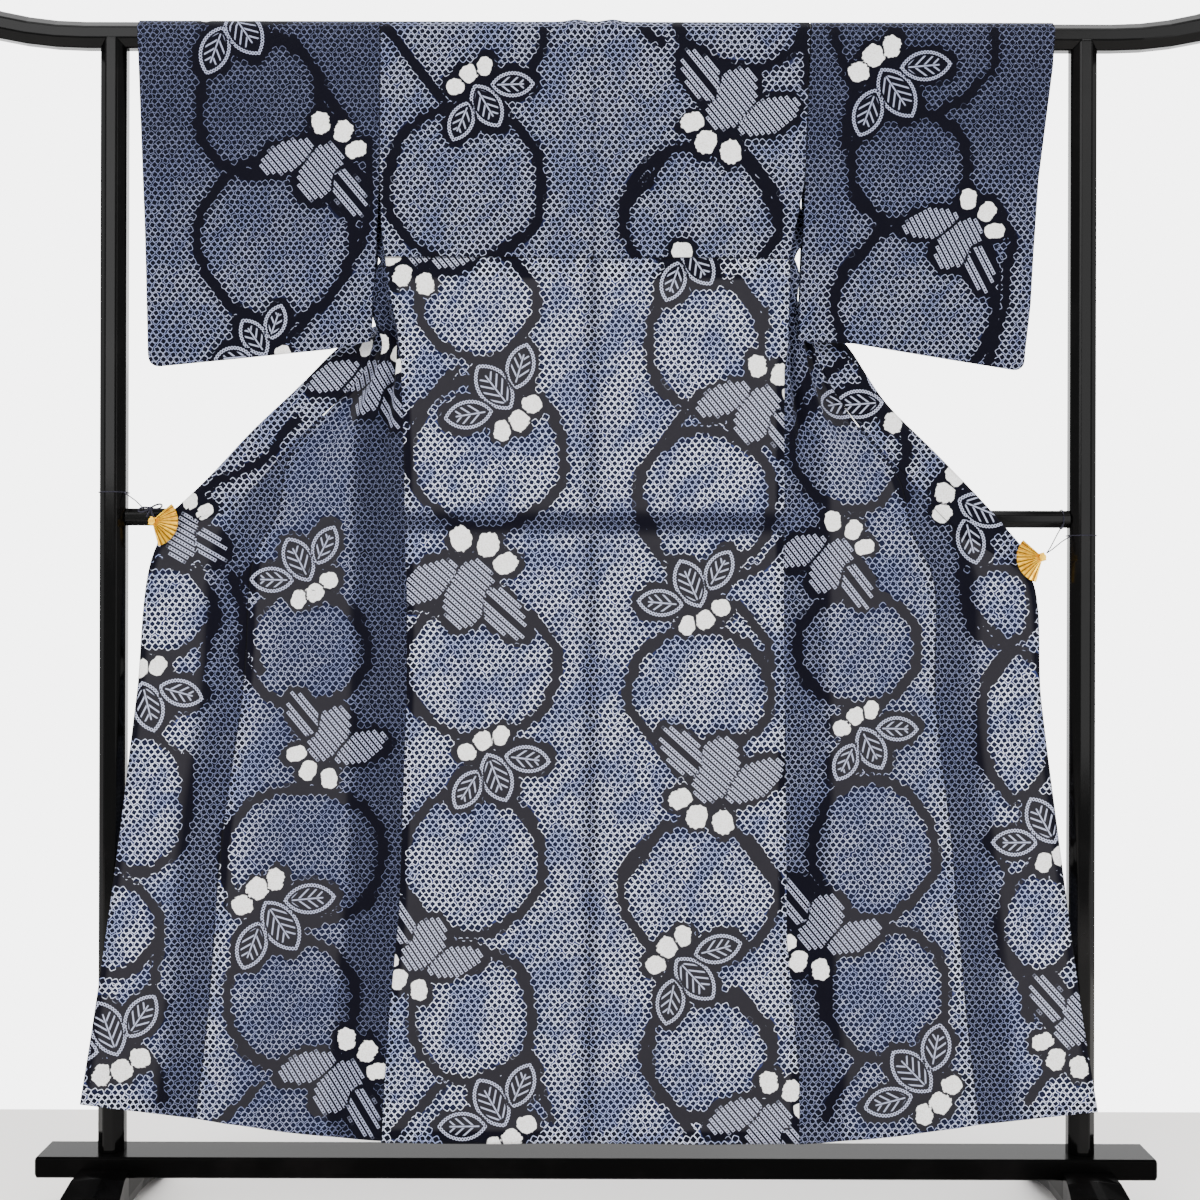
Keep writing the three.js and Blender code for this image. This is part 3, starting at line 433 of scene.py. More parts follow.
def front_side(side, row):
    """Place of a front's row on the side seam."""
    x = at_z(BACK[side], 1, row["sz"]) - OUT[side] * SIDE_LAP
    return np.array((x, lerp(back_y(row["sz"]), SHOULDER_R, clamp(row["open"])), row["sz"]))


def front_end(s, row):
    """End of a front's row from s: its outer edge, or its seam with the overlap panel."""
    e = spot(row, "e")
    back = (s - e) / np.linalg.norm(s - e)
    return e + back * (row["overlap"] - SEAM_LAP) if row["overlap"] > LEAST_OVERLAP else e


def gather(share):
    """Depth of the gathers across a front, from 0 to 1."""
    return (0.5 - 0.5 * math.cos(2 * math.pi * PLEATS * share)) ** 2


def swell(opened, share):
    """Bulge across a front: over the middle of the twist, and from the side seam above it."""
    return lerp(math.sin(math.pi * share), 1 - share, clamp(2 * opened))


FRONT_STRIPS = 48
FINE_FOLDS, FINE_SHARE, FINE_DRIFT, FINE_CALM = 5, 0.12, 0.8, 10


def front_grid(side):
    """Front from the bar's top, down the far side, through the twist and out to its edge."""
    rows = FRONT[side]
    neck = centre_x(BAR_Z) + OUT[side] * NECK_HALF
    shares = np.linspace(0, 1, FRONT_STRIPS + 1)
    points = []
    edge = at_z(BACK[side], 1, BAR_Z)
    over = [OVER[name] for name in ("top", "far_top", "far_corner")]
    for y, z in over:
        points.append([(lerp(edge, neck, share), y, z) for share in shares])
    turns = steps_between([row[0] for row in rows], CELL)
    for t in turns:
        row = smooth_row(FRONT_COLUMNS, rows, t)
        s = front_side(side, row)
        chord = front_end(s, row) - s
        inward = np.array((chord[1], -chord[0], 0)) / math.hypot(*chord[:2]) * -OUT[side]
        fine = FINE_SHARE * row["pleat"]
        line = []
        for share in shares:
            p = s + chord * share + inward * row["pleat"] * gather(share)
            wave = math.sin(2 * math.pi * FINE_FOLDS * share + FINE_DRIFT * t)
            p = p + inward * fine * calm(share, FINE_CALM) * wave
            p[0] += OUT[side] * row["out"] * swell(row["open"], share)
            p[1] -= row["near"] * swell(row["open"], share)
            p[2] -= row["sag"] * 4 * share * (1 - share)
            line.append(p)
        points.append(line)
    points = np.array(points)
    steps = np.linalg.norm(np.diff(points[:, :, :2], axis=1), axis=2)
    arcs = np.concatenate([np.zeros((len(points), 1)), np.cumsum(steps, axis=1)], axis=1)
    cloth = np.stack([points[:, :1, 0] + OUT[side] * arcs, points[:, :, 2]], axis=2)
    first = len(over) + sum(t < CREASED_FROM for t in turns)
    points[first:] = creased(side, points[first:])
    return points, cloth, arcs


def creased(side, points):
    """Press the side's soft ridges into cloth, towards the viewer."""
    flat = points[:, :, [0, 2]].reshape(-1, 2)
    rise = np.zeros(len(flat))
    for x0, z0, x1, z1, width, height in CREASES[side]:
        rise += height * np.exp(-((to_line(flat, (x0, z0), (x1, z1)) / width) ** 2))
    points[:, :, 1] -= rise.reshape(points.shape[:2])
    return points


OVERLAP_STRIPS = 24
POINT_WIDTH = 0.4  # of the overlap panel's top


def overlap_grid(side):
    """Narrow panel between the front's seam and its outer edge, from its point to the hem."""
    rows = FRONT[side]
    shares = np.linspace(0, 1, OVERLAP_STRIPS + 1)
    points = []
    for t in steps_between([row[0] for row in rows], CELL):
        if t < OVERLAP_ROW:
            continue
        row = smooth_row(FRONT_COLUMNS, rows, t)
        e, s = spot(row, "e"), front_side(side, row)
        inner = e + (s - e) / np.linalg.norm(s - e) * max(POINT_WIDTH, row["overlap"] + SEAM_LAP)
        points.append([lerp(inner, e, share) for share in shares])
    return creased(side, np.array(points))


def collar_grid():
    """The strip from the left clip round the nape to the right clip."""
    shares = [0, 0.08, BEND_SHARE, 0.25, 0.4, 0.55, 0.7, 0.85, 1]

    def strip(e, bend, f):
        low = [lerp(e, bend, s / BEND_SHARE) for s in shares if s <= BEND_SHARE]
        rest = [(s - BEND_SHARE) / (1 - BEND_SHARE) for s in shares if s > BEND_SHARE]
        return low + [lerp(bend, f, s) for s in rest]

    def half(side):
        out = []
        for t in steps_between([row[0] for row in NAPE], CELL):
            n = smooth_row(NAPE_COLUMNS, NAPE, t)
            middle, way = (centre_x(BAR_Z), 0, 0), (OUT[side], 1, 1)
            out.append(strip(*(middle + spot(n, letter) * way for letter in "ekf")))
        rows = FRONT[side][: CLIP_ROW + 1]
        for t in steps_between([row[4] for row in rows], CELL):
            row = smooth_row(FRONT_COLUMNS, rows, t)
            e, f = spot(row, "e"), spot(row, "f")
            out.append(strip(e, lerp(e, f, BEND_SHARE), f))
        return out

    return np.array(half("left")[::-1] + half("right")[1:])


def bottom_z(side, x):
    outer, middle, inner = SLEEVE_BOTTOM[side]
    a, b = (outer, middle) if abs(x) > abs(middle[0]) else (middle, inner)
    return lerp(a[1], b[1], (x - a[0]) / (b[0] - a[0]))


CUFF_HALF, CUFF_LOW_HALF, BODY_LOW_HALF, LEAST_HALF = 13, 3, 1, 2
LEAN, LEAN_HEIGHT = 9, 180  # towards the viewer, below the armhole
SLEEVE_DROP = 460
SLEEVE_HEIGHT = 440
SLEEVE_SEED = 4.0


def sleeve_half(share, z):
    """Half the depth between a sleeve's layers, from the cuff at 0 to the body at 1."""
    if z > CUFF_Z:
        at_cuff = lerp(CUFF_HALF, SHOULDER_R, (z - CUFF_Z) / (FACE_Z - CUFF_Z))
    else:
        at_cuff = lerp(CUFF_LOW_HALF, CUFF_HALF, (z - SLEEVE_LOW_Z) / (CUFF_Z - SLEEVE_LOW_Z))
    risen = (z - SLEEVE_LOW_Z) / (ARMHOLE_Z - SLEEVE_LOW_Z)
    at_body = lerp(BODY_LOW_HALF, SHOULDER_R, clamp(risen))
    return max(LEAST_HALF, lerp(at_cuff, at_body, share ** 1.5))


def sleeve_lean(share, z):
    return -LEAN * share ** 2 * clamp((ARMHOLE_Z - z) / LEAN_HEIGHT)


def sleeve_grid(side):
    """Rings round the sleeve, from the cuff to the body: bottom fold, near layer, bar, far layer."""
    outline = SLEEVE[side]

    def x_at(share, z):
        return lerp(at_z(outline, 1, z), at_z(outline, 2, z), share)

    width = abs(x_at(1, SLEEVE_LOW_Z) - x_at(0, SLEEVE_LOW_Z))
    corner = [t * SLEEVE_CORNER_R / width for t in (0, 0.05, 0.12, 0.25, 0.45, 0.7, 1)]
    rest = np.linspace(corner[-1], 1, math.ceil(width / CELL))[1:]
    shares = corner + list(rest)
    levels = [0.004, 0.012, 0.03, 0.05] + list(np.linspace(0.07, 1, math.ceil(SLEEVE_HEIGHT / CELL)))
    rings = []
    for share in shares:
        inside = max(0, SLEEVE_CORNER_R - share * width)
        rise = SLEEVE_CORNER_R - math.sqrt(SLEEVE_CORNER_R ** 2 - inside ** 2)
        low = bottom_z(side, x_at(share, SLEEVE_LOW_Z)) + rise

        def layer(sign):
            out = []
            for level in levels:
                z = lerp(low, FACE_Z, level)
                round_off = min(1, level / 0.04) ** 0.5
                x = x_at(share, z)
                swing = math.sin(math.pi * clamp((BAR_Z - z) / SLEEVE_DROP)) * min(1, 6 * share + 0.2)
                swing *= min(1, END_CALM * (1 - share))
                wave = swing * ripple(x, z, SLEEVE_SEED + sign)
                half = sleeve_half(share, z) * round_off
                out.append((x, sleeve_lean(share, z) + sign * (half + 0.5 * wave), z))
            return out

        tops = [OVER[name] for name in ("near_corner", "near_top", "far_top", "far_corner")]
        tops = [(x_at(share, z), y, z) for y, z in tops]
        bottom = (x_at(share, low), sleeve_lean(share, low), low)
        rings.append([bottom] + layer(-1) + tops + layer(1)[::-1])
    return np.array(rings)


# Fields of the pattern: all take places on the cloth in mm


def leaves_of(region):
    """Rows of kind, x, z, half length, half width, direction and the stripes' direction."""
    out = []
    for spray, x, z, turn, size in CLUSTERS[region]:
        c, s = math.cos(math.radians(turn)), math.sin(math.radians(turn))
        for kind, dx, dz, a, b, direction in SPRAYS[spray]:
            place = (x + size * (c * dx - s * dz), z + size * (s * dx + c * dz))
            angles = (math.radians(direction + turn), math.radians(STRIPES_AT + turn))
            out.append((KINDS[kind], *place, a * size, b * size, *angles))
    return np.array(out)


def to_ellipse(dx, dz, a, b):
    """Signed distance to an ellipse, near enough close to its edge."""
    share = np.hypot(dx / a, dz / b)
    slope = np.hypot(dx / a ** 2, dz / b ** 2) + 1e-9
    return share * (share - 1) / slope


def to_leaves(leaves, p):
    dx = p[:, 0, None] - leaves[None, :, 1]
    dz = p[:, 1, None] - leaves[None, :, 2]
    c, s = np.cos(leaves[:, 5]), np.sin(leaves[:, 5])
    return to_ellipse(dx * c + dz * s, dz * c - dx * s, leaves[:, 3], leaves[:, 4])


def to_line(p, a, b):
    a, b = np.array(a, float), np.array(b, float)
    share = np.clip((p - a) @ (b - a) / ((b - a) @ (b - a)), 0, 1)
    return np.linalg.norm(p - a - share[:, None] * (b - a), axis=1)


def to_ground(region, p):
    """Signed distance to the plain cloth: the bands, vines and surrounds of the leaves."""
    x, z = p[:, 0], p[:, 1]
    p = p + WANDER * np.stack([np.sin(z / 19 + x / 53), np.sin(x / 23 + z / 47)], axis=1)
    near = np.min(to_leaves(leaves_of(region), p), axis=1) - ROUND_LEAF
    for ox, oz, a, b in OVALS[region]:
        near = np.minimum(near, np.abs(to_ellipse(p[:, 0] - ox, p[:, 1] - oz, a, b)) - BAND)
    for line in VINES[region]:
        for start, end in zip(line, line[1:]):
            near = np.minimum(near, to_line(p, start, end) - VINE)
    return near


def paint(mesh, corners, cloth, regions, layers):
    """Write the fields on each face corner.

    regions names the part of the pattern on each face, and layers gives each vertex's painted shade of
    doubled ground, painted shade of the fields and distance to a seam.
    """
    fields = {name: np.zeros((*corners.shape, 3)) for name in ("ground", "motif", "leaf")}
    fields["layer"] = layers[corners]
    fields["apart"] = np.full((*corners.shape, 3), FAR)
    regions = np.broadcast_to(regions, len(corners))
    for region in np.unique(regions):
        faces = np.flatnonzero(regions == region)
        used, back = np.unique(corners[faces], return_inverse=True)
        back = back.reshape(-1, 4)
        p = cloth[used]
        d = to_ground(region, p)
        gx = to_ground(region, p + (1, 0)) - d
        gz = to_ground(region, p + (0, 1)) - d
        fields["ground"][faces] = np.stack([d, gx, gz], axis=1)[back]
        leaves = leaves_of(region)
        away = to_leaves(leaves, p[back].mean(axis=1))
        nearest = leaves[np.argmin(away, axis=1)]
        kind = np.where(np.min(away, axis=1) < LEAF_REACH, nearest[:, 0], 0)
        if len(leaves) > 1:
            two = np.sort(to_leaves(leaves, p), axis=1)[:, :2]
            fields["apart"][faces] = (two[:, 1] - two[:, 0])[back][:, :, None]
        striped = (kind == KINDS["striped"]) | (kind == KINDS["split"])
        angle = np.where(striped, nearest[:, 6], nearest[:, 5])
        c, s = np.cos(angle)[:, None], np.sin(angle)[:, None]
        dx = p[back][:, :, 0] - nearest[:, 1, None]
        dz = p[back][:, :, 1] - nearest[:, 2, None]
        kinds = np.broadcast_to(kind[:, None], dx.shape)
        fields["motif"][faces] = np.stack([dx * c + dz * s, dz * c - dx * s, kinds], axis=2)
        facts = np.stack([nearest[:, 3], nearest[:, 4], nearest[:, 5] - nearest[:, 6]], axis=1)
        fields["leaf"][faces] = facts[:, None, :]
    for name, values in fields.items():
        attribute = mesh.attributes.new(name, "FLOAT_VECTOR", "CORNER")
        attribute.data.foreach_set("vector", np.ascontiguousarray(values, np.float32).ravel())
    uv = mesh.uv_layers.new(name="cloth")
    uv.data.foreach_set("uv", (cloth[corners.ravel()] * MM).astype(np.float32).ravel())


def grid_faces(grid, ring=False, base=0, flip=False):
    rows, columns = grid.shape[:2]
    faces = []
    for i in range(rows - 1):
        for j in range(columns if ring else columns - 1):
            k = (j + 1) % columns
            here, below = base + i * columns, base + (i + 1) * columns
            quad = (here + j, below + j, below + k, here + k)
            faces.append(quad[::-1] if flip else quad)
    return faces


def face_middles(faces, cloth):
    return cloth.reshape(-1, 2)[np.array(faces)].mean(axis=1)


def add_object(name, data, place=(0, 0, 0), turn=(0, 0, 0)):
    thing = bpy.data.objects.new(name, data)
    thing.location = place
    thing.rotation_euler = turn
    bpy.context.scene.collection.objects.link(thing)
    return thing


def srgb(code):
    """Linear colour of a six-digit colour code."""
    parts = [int(code[i : i + 2], 16) / 255 for i in (0, 2, 4)]
    return (*(p / 12.92 if p <= 0.04045 else ((p + 0.055) / 1.055) ** 2.4 for p in parts), 1.0)


class Value:
    """A number in a material, for sums with other values and plain numbers."""

    def __init__(self, graph, socket):
        self.graph = graph
        self.socket = socket

    def __add__(self, other):
        return self.graph.math("ADD", self, other)

    def __sub__(self, other):
        return self.graph.math("SUBTRACT", self, other)

    def __rsub__(self, other):
        return self.graph.math("SUBTRACT", other, self)

    def __mul__(self, other):
        return self.graph.math("MULTIPLY", self, other)

    def __truediv__(self, other):
        return self.graph.math("DIVIDE", self, other)

    def __abs__(self):
        return self.graph.math("ABSOLUTE", self)

    __radd__ = __add__
    __rmul__ = __mul__


class Graph:
    """One material and short calls for its nodes."""

    def __init__(self, name):
        self.material = bpy.data.materials.new(name)
        self.material.use_nodes = True
        self.nodes = self.material.node_tree.nodes
        self.links = self.material.node_tree.links
        self.shader = self.nodes["Principled BSDF"]

    def put(self, socket, value):
        if isinstance(value, Value):
            self.links.new(value.socket, socket)
        else:
            socket.default_value = srgb(value) if isinstance(value, str) else value

    def add(self, kind, inputs=(), **settings):
        node = self.nodes.new(kind)
        for name, value in settings.items():
            setattr(node, name, value)
        for name, value in dict(inputs).items():
            self.put(node.inputs[name], value)
        return node

    def out(self, kind, inputs=(), output=0, **settings):
        """Value of a new node's output."""
        return Value(self, self.add(kind, inputs, **settings).outputs[output])

    def place(self):
        return self.out("ShaderNodeTexCoord", output="Object")

    def math(self, operation, *values):
        return self.out("ShaderNodeMath", enumerate(values), operation=operation)

    def step(self, value, low, high):
        """0 at low and 1 at high with a smooth way between; low may be the larger."""
        ends = {"Value": value, "From Min": low, "From Max": high}
        return self.out("ShaderNodeMapRange", ends, interpolation_type="SMOOTHSTEP")

    def mix(self, share, a, b):
        return self.out("ShaderNodeMix", {0: share, 6: a, 7: b}, 2, data_type="RGBA")

    def most(self, *values):
        out = values[0]
        for value in values[1:]:
            out = self.math("MAXIMUM", out, value)
        return out

    def is_kind(self, value, kind):
        return self.math("COMPARE", value, KINDS[kind], 0.4)

    def powers(self, x, y, power):
        return self.math("POWER", abs(x), power) + self.math("POWER", abs(y), power)

    def split(self, value):
        node = self.add("ShaderNodeSeparateXYZ", {0: value})
        return [Value(self, socket) for socket in node.outputs]

    def join(self, x, y, z):
        return self.out("ShaderNodeCombineXYZ", enumerate((x, y, z)))

    def field(self, name):
        return self.split(self.out("ShaderNodeAttribute", output="Vector", attribute_name=name))

    def noise(self, place, scale, detail=2.0, roughness=0.5):
        facts = {"Vector": place, "Scale": scale, "Detail": detail, "Roughness": roughness}
        return self.out("ShaderNodeTexNoise", facts, "Fac")

    def chances(self, x, y, z):
        """Three random numbers from 0 to 1 for a cell."""
        place = {"Vector": self.join(x, y, z)}
        return self.split(self.out("ShaderNodeTexWhiteNoise", place, "Color", noise_dimensions="3D"))

    def turned(self, x, y, angle):
        c, s = self.math("COSINE", angle), self.math("SINE", angle)
        return x * c + y * s, y * c - x * s

    def bump(self, height, distance, strength=1.0, after=None):
        facts = {"Height": height, "Distance": distance, "Strength": strength}
        if after is not None:
            facts["Normal"] = after
        return self.out("ShaderNodeBump", facts)

    def look(self, **inputs):
        """Set the surface's inputs; an underscore in a name stands for a space."""
        for name, value in inputs.items():
            self.put(self.shader.inputs[name.replace("_", " ")], value)
        return self.material


# Tied pattern in mm on the cloth. A pair of numbers is where a soft edge starts and ends
RING_X, RING_Z = 10.0, 13.2  # each of two shifted lattices of rings
RING_JITTER = 2.3
RING_POWER = 4.2  # between a circle and a square
RING_TURN = 0.9  # spread of the rings' turns, in radians
RING_R, RING_LINE, RING_DOT = 3.55, (0.68, 0.18), (3.35, 2.6)
RING_THIN = 0.28  # how much thinner lines are in painted shade
RING_GROWTH = 0.9  # how much larger rings are along the plain bands
NEAR_BAND = (13, 5)
RING_CLEAR, RING_CUT = (2.6, 3.4), (-2.8, -1.8)  # from plain cloth to a ring's middle, and its line
BEAD = 4.6
BEAD_SOFT, BEAD_DOT = 0.3, (0.95, 1.5)
OUTLINE_IN, OUTLINE_HALF = 2.5, 2.45
VEIN = 13.0
VEIN_SLANT, VEIN_SHIFT, VEIN_SQUEEZE = 1.15, 4, 0.66
VEIN_LINE, VEIN_START, MIDRIB, VEIN_INK = (1.4, 0.8), (1.6, 2.4), (1.3, 0.7), 0.85
INSIDE_EDGE, INSIDE_SHIFT, INSIDE_FROM, INSIDE_TO = (-7.2, -8.2), 3, 0.62, 0.56
STRIPE = 7.4
STRIPE_HALF, STRIPE_ROUND, STRIPE_END = 2.2, 1.7, (1.03, 0.97)
BUD_POWER, BUD_EDGE, BUD_WOBBLE = 2.3, (1.06, 0.9), 1.3
LEAF_GAP = (3.0, 5.5)  # plain cloth between two leaves
# Each colour and what it turns into: pale dye clouds lift the between and ring colours, the ground and
# dots turn into painted shade where cloth lies double, beads darken in painted shade, and buds grey a
# little in noise patches
DYES_AND_SHADES = {  # a colour and what it turns into
    "between": ("060a29", "2d355e"), "ring": ("97a2cc", "e0e5f8"), "ground": ("242328", "02020e"),
    "dot": ("10142a", "050716"), "bead": ("b2b7d0", "666b92"), "bud": ("ffffff", "dfdcd6"),
}
# Dye of the strokes, then the painted shade colours for between the rings and for the rings
STROKE_DYE, BETWEEN_SHADE_COLOR, RING_SHADE_COLOR = "080c28", "01020c", "70769a"
CLOUD_TURN = 50  # direction of the dye clouds in degrees
WEAVE = 11.0  # radians of the weave's waves in a mm


def rings(g, u, v, d, gx, gz, painted_shade):
    """Lines and dark middles of the tied rings on the fields."""
    lines, middles = [], []
    for shift in (0.0, 0.5):
        cu = g.math("ROUND", u / RING_X - shift)
        cv = g.math("ROUND", v / RING_Z - shift)
        r1, r2, r3 = g.chances(cu, cv, shift)
        lu = u - (cu + shift) * RING_X - (r1 - 0.5) * RING_JITTER
        lv = v - (cv + shift) * RING_Z - (r2 - 0.5) * RING_JITTER
        away = d - gx * lu - gz * lv
        growth = g.step(away, *NEAR_BAND) * RING_GROWTH
        here = g.step(away, *RING_CLEAR) * g.step(d, *RING_CUT)
        x, y = g.turned(lu, lv, math.pi / 4 + (r3 - 0.5) * RING_TURN)
        r = g.math("POWER", g.powers(x, y, RING_POWER), 1 / RING_POWER) - growth
        # Ring lines grow thinner in painted shade
        lines.append(g.step(abs(r - RING_R) + painted_shade * RING_THIN, *RING_LINE) * here)
        middles.append(g.step(r, *RING_DOT) * here)
    return g.most(*lines), g.most(*middles)


def beads(g, along, across, half, square=True):
    """Small squares or rounds with a dark dot, in one row."""
    s = along - g.math("ROUND", along / BEAD) * BEAD
    r = g.most(abs(s), abs(across)) if square else g.math("SQRT", s * s + across * across)
    return g.step(r, half + BEAD_SOFT, half - BEAD_SOFT) * g.step(r, *BEAD_DOT)


def leaves(g, lx, ly, kind, a, b, tilt):
    """Beads of the outlined and striped leaves, and the plain buds."""
    round_r = (a * a + b * b) / (b * 2)
    rise = round_r - b
    ay = abs(ly) + rise
    out = g.math("SQRT", lx * lx + ay * ay) - round_r
    around = g.math("ARCTAN2", lx, ay) * round_r
    outline = beads(g, around, out + OUTLINE_IN, OUTLINE_HALF, square=False)
    slant = lx + VEIN_SHIFT - abs(ly) * VEIN_SLANT
    rib = slant - g.math("ROUND", slant / VEIN) * VEIN
    ends = g.step(abs(lx + INSIDE_SHIFT), a * INSIDE_FROM, a * INSIDE_TO)
    inside = g.step(out, *INSIDE_EDGE) * ends * VEIN_INK
    ribs = g.step(abs(rib) * VEIN_SQUEEZE, *VEIN_LINE) * g.step(abs(ly), *VEIN_START) * inside
    middle = g.step(abs(ly), *MIDRIB) * inside
    outlined = g.most(outline, ribs, middle) * g.is_kind(kind, "outline")

    row = g.math("ROUND", ly / STRIPE)
    place = g.math("ROUND", lx / BEAD) * BEAD
    middle_x, middle_y = g.turned(place, row * STRIPE, tilt)
    reach = g.powers(middle_x / a, middle_y / b, STRIPE_ROUND)
    grain = beads(g, lx, ly - row * STRIPE, STRIPE_HALF) * g.step(reach, *STRIPE_END)
    gap = g.math("COMPARE", row, 0, 0.4) * g.is_kind(kind, "split")
    striped = grain * (1 - gap) * g.most(g.is_kind(kind, "striped"), g.is_kind(kind, "split"))

    wobble = (g.noise(g.join(lx, ly, a), 0.12, 2.0) - 0.5) * BUD_WOBBLE
    shape = g.powers(lx / a, ly / b, BUD_POWER) + wobble
    bud = g.step(shape, *BUD_EDGE) * g.is_kind(kind, "bud")
    return g.most(outlined, striped), bud


def shibori_cotton():
    """Dyed cotton: clouds of blue under white rings, leaves and buds on plain dark ground, darkened by
    painted shade where cloth lies double or more cloth lies behind.
    """
    g = Graph("shibori cotton")
    u, v, _ = [part * (1 / MM) for part in g.split(g.out("ShaderNodeUVMap", uv_map="cloth"))]
    place = g.join(u, v, 0.0)
    d, gx, gz = g.field("ground")
    lx, ly, kind = g.field("motif")
    a, b, tilt = g.field("leaf")
    # Painted shade from the cloth's layers: the first field darkens the plain ground where cloth lies
    # double, the second darkens the fields where more cloth lies behind
    double_shade, painted_shade, seam = g.field("layer")
    apart = g.field("apart")[0]

    along, across = g.turned(u, v, math.radians(CLOUD_TURN))
    cloud = g.noise(g.join(along * 0.011, across * 0.017, 2.0), 1.0, 2.0, 0.55)
    small = g.noise(g.join(along * 0.045, across * 0.07, 5.0), 1.0, 2.0, 0.6)
    # Pale dye clouds fade out in painted shade
    pale = g.step(cloud + (small - 0.5) * 0.55, 0.36, 0.62) * (1 - painted_shade * 0.75)
    strokes = g.step(g.noise(g.join(along * 0.06, across * 0.5, 9.0), 1.0, 1.0), 0.56, 0.66)
    crumple = g.noise(g.join(u, v, 3.0), 0.55, 3.0, 0.6)

    ring, dot = rings(g, u, v, d, gx, gz, painted_shade)
    clear = g.step(apart, *LEAF_GAP)
    bead, bud = [part * clear for part in leaves(g, lx, ly, kind, a, b, tilt)]
    between = g.mix(strokes * 0.5, g.mix(pale, *DYES_AND_SHADES["between"]), STROKE_DYE)
    # Painted shade turns the colour between the rings near black
    between = g.mix(painted_shade, between, BETWEEN_SHADE_COLOR)
    # Ground and dots are painted darker where cloth lies double, and rings and beads darker in painted
    # shade
    color = g.mix(g.step(d, 3.4, 4.6), g.mix(double_shade, *DYES_AND_SHADES["ground"]), between)
    color = g.mix(dot, color, g.mix(double_shade, *DYES_AND_SHADES["dot"]))
    color = g.mix(ring, color, g.mix(painted_shade * 0.85, g.mix(pale, *DYES_AND_SHADES["ring"]), RING_SHADE_COLOR))
    color = g.mix(bead, color, g.mix(painted_shade * 0.35, *DYES_AND_SHADES["bead"]))
    color = g.mix(bud, color, g.mix(g.step(crumple, 0.35, 0.75), *DYES_AND_SHADES["bud"]))

    weave = g.math("SINE", u * WEAVE) * g.math("SINE", v * WEAVE)
    line_of_seam = g.step(seam, 1.3, 0.5)
    shade = 1 + weave * 0.05 + (small - 0.5) * 0.12 - line_of_seam * 0.8
    color = g.out("ShaderNodeVectorMath", {0: color, "Scale": shade}, operation="SCALE")

    turns = 2 * math.pi
    peaks = g.math("COSINE", u * (turns / RING_X)) * g.math("COSINE", v * (turns / RING_Z))
    normal = g.bump(g.noise(place, 0.16, 3.0, 0.6), 0.0012, 0.35)
    normal = g.bump(peaks * g.step(d, 2.6, 6.0), 0.0004, 0.5, normal)
    normal = g.bump(weave * 0.5 - line_of_seam, 0.0003, 0.5, normal)
    rough = 0.86 - bud * 0.06 + (small - 0.5) * 0.1
    g.look(Base_Color=color, Roughness=rough, Normal=normal)
    return g.look(Sheen_Weight=0.02, Specular_IOR_Level=0.1)


def black_lacquer(name, index, gloss):
    g = Graph(name)
    place = g.place()
    dust = g.noise(place, 900.0, 2.0)
    wear = g.noise(place, 14.0, 4.0)
    color = g.mix(g.step(wear, 0.45, 0.8), "040404", "0b0a0a")
    rough = gloss + wear * 0.07 + g.step(dust, 0.66, 0.74) * 0.2
    orange_peel = g.noise(place, 160.0, 1.0)
    rounded = g.out("ShaderNodeBevel", {"Radius": 1.6 * MM}, samples=4)
    normal = g.bump(orange_peel, 0.0002, 0.06, rounded)
    return g.look(Base_Color=color, Roughness=rough, Normal=normal, IOR=index)


FAN_PIVOT = {"left": (-638.0, 1004.5), "right": (637.0, 956.0)}
FAN_FROM, FAN_TO = -75, 41  # degrees from level, on the garment's side
FAN_RIBS = 10


def gilt_brass():
    g = Graph("gilt brass")
    place = g.place()
    tarnish = g.noise(place, 120.0, 4.0, 0.6)
    stretched = [part * s for part, s in zip(g.split(place), (900, 900, 60))]
    brushed = g.noise(g.join(*stretched), 1.0, 2.0)
    color = g.mix(g.step(tarnish, 0.35, 0.75), "f2c230", "c48a14")
    x, _, z = g.split(place)
    right = g.math("GREATER_THAN", x, 0.0)
    (left_x, left_z), (right_x, right_z) = FAN_PIVOT["left"], FAN_PIVOT["right"]
    reach = (x - left_x * MM - right * (right_x - left_x) * MM) * (1 - right * 2)
    rise = z - left_z * MM - right * (right_z - left_z) * MM
    turn = g.math("ARCTAN2", rise, reach) - math.radians(FAN_FROM)
    pleat = turn / math.radians(FAN_TO - FAN_FROM) * FAN_RIBS
    # Painted shade in the valleys between the fan's ribs: a dark colour and less metal
    valley_shade = g.step(abs(pleat - g.math("ROUND", pleat)), 0.28, 0.46)
    away = g.math("SQRT", reach * reach + rise * rise)
    valley_shade = valley_shade * g.step(away, 0.007, 0.012)
    color = g.mix(valley_shade * 0.85, color, "3a2204")
    rough = 0.2 + tarnish * 0.16 + brushed * 0.08
    normal = g.bump(brushed, 0.0001, 0.3)
    return g.look(Base_Color=color, Metallic=1 - valley_shade * 0.6, Roughness=rough, Normal=normal)


def twisted_cord():
    g = Graph("twisted cord")
    place = g.place()
    x, y, z = g.split(place)
    strands = g.math("SINE", (x + z * 1.3 + y) * 6000)
    fibre = g.noise(place, 2500.0, 2.0)
    color = g.mix(g.step(strands + fibre, 0.0, 1.2), "05040e", "14102e")
    normal = g.bump(strands, 0.0003, 0.6)
    return g.look(Base_Color=color, Roughness=0.75 + fibre * 0.15, Normal=normal)


def pale_floor():
    """Plain matt colour with a faint unevenness."""
    g = Graph("pale floor")
    return g.look(Base_Color=g.mix(g.noise(g.place(), 3.0), "fbf4ec", "ffffff"), Roughness=0.9)


COTTON = shibori_cotton()
LACQUER = black_lacquer("black lacquer", 1.2, 0.07)
BASE_LACQUER = black_lacquer("satin black lacquer", 1.08, 0.2)
GILT = gilt_brass()
CORD = twisted_cord()

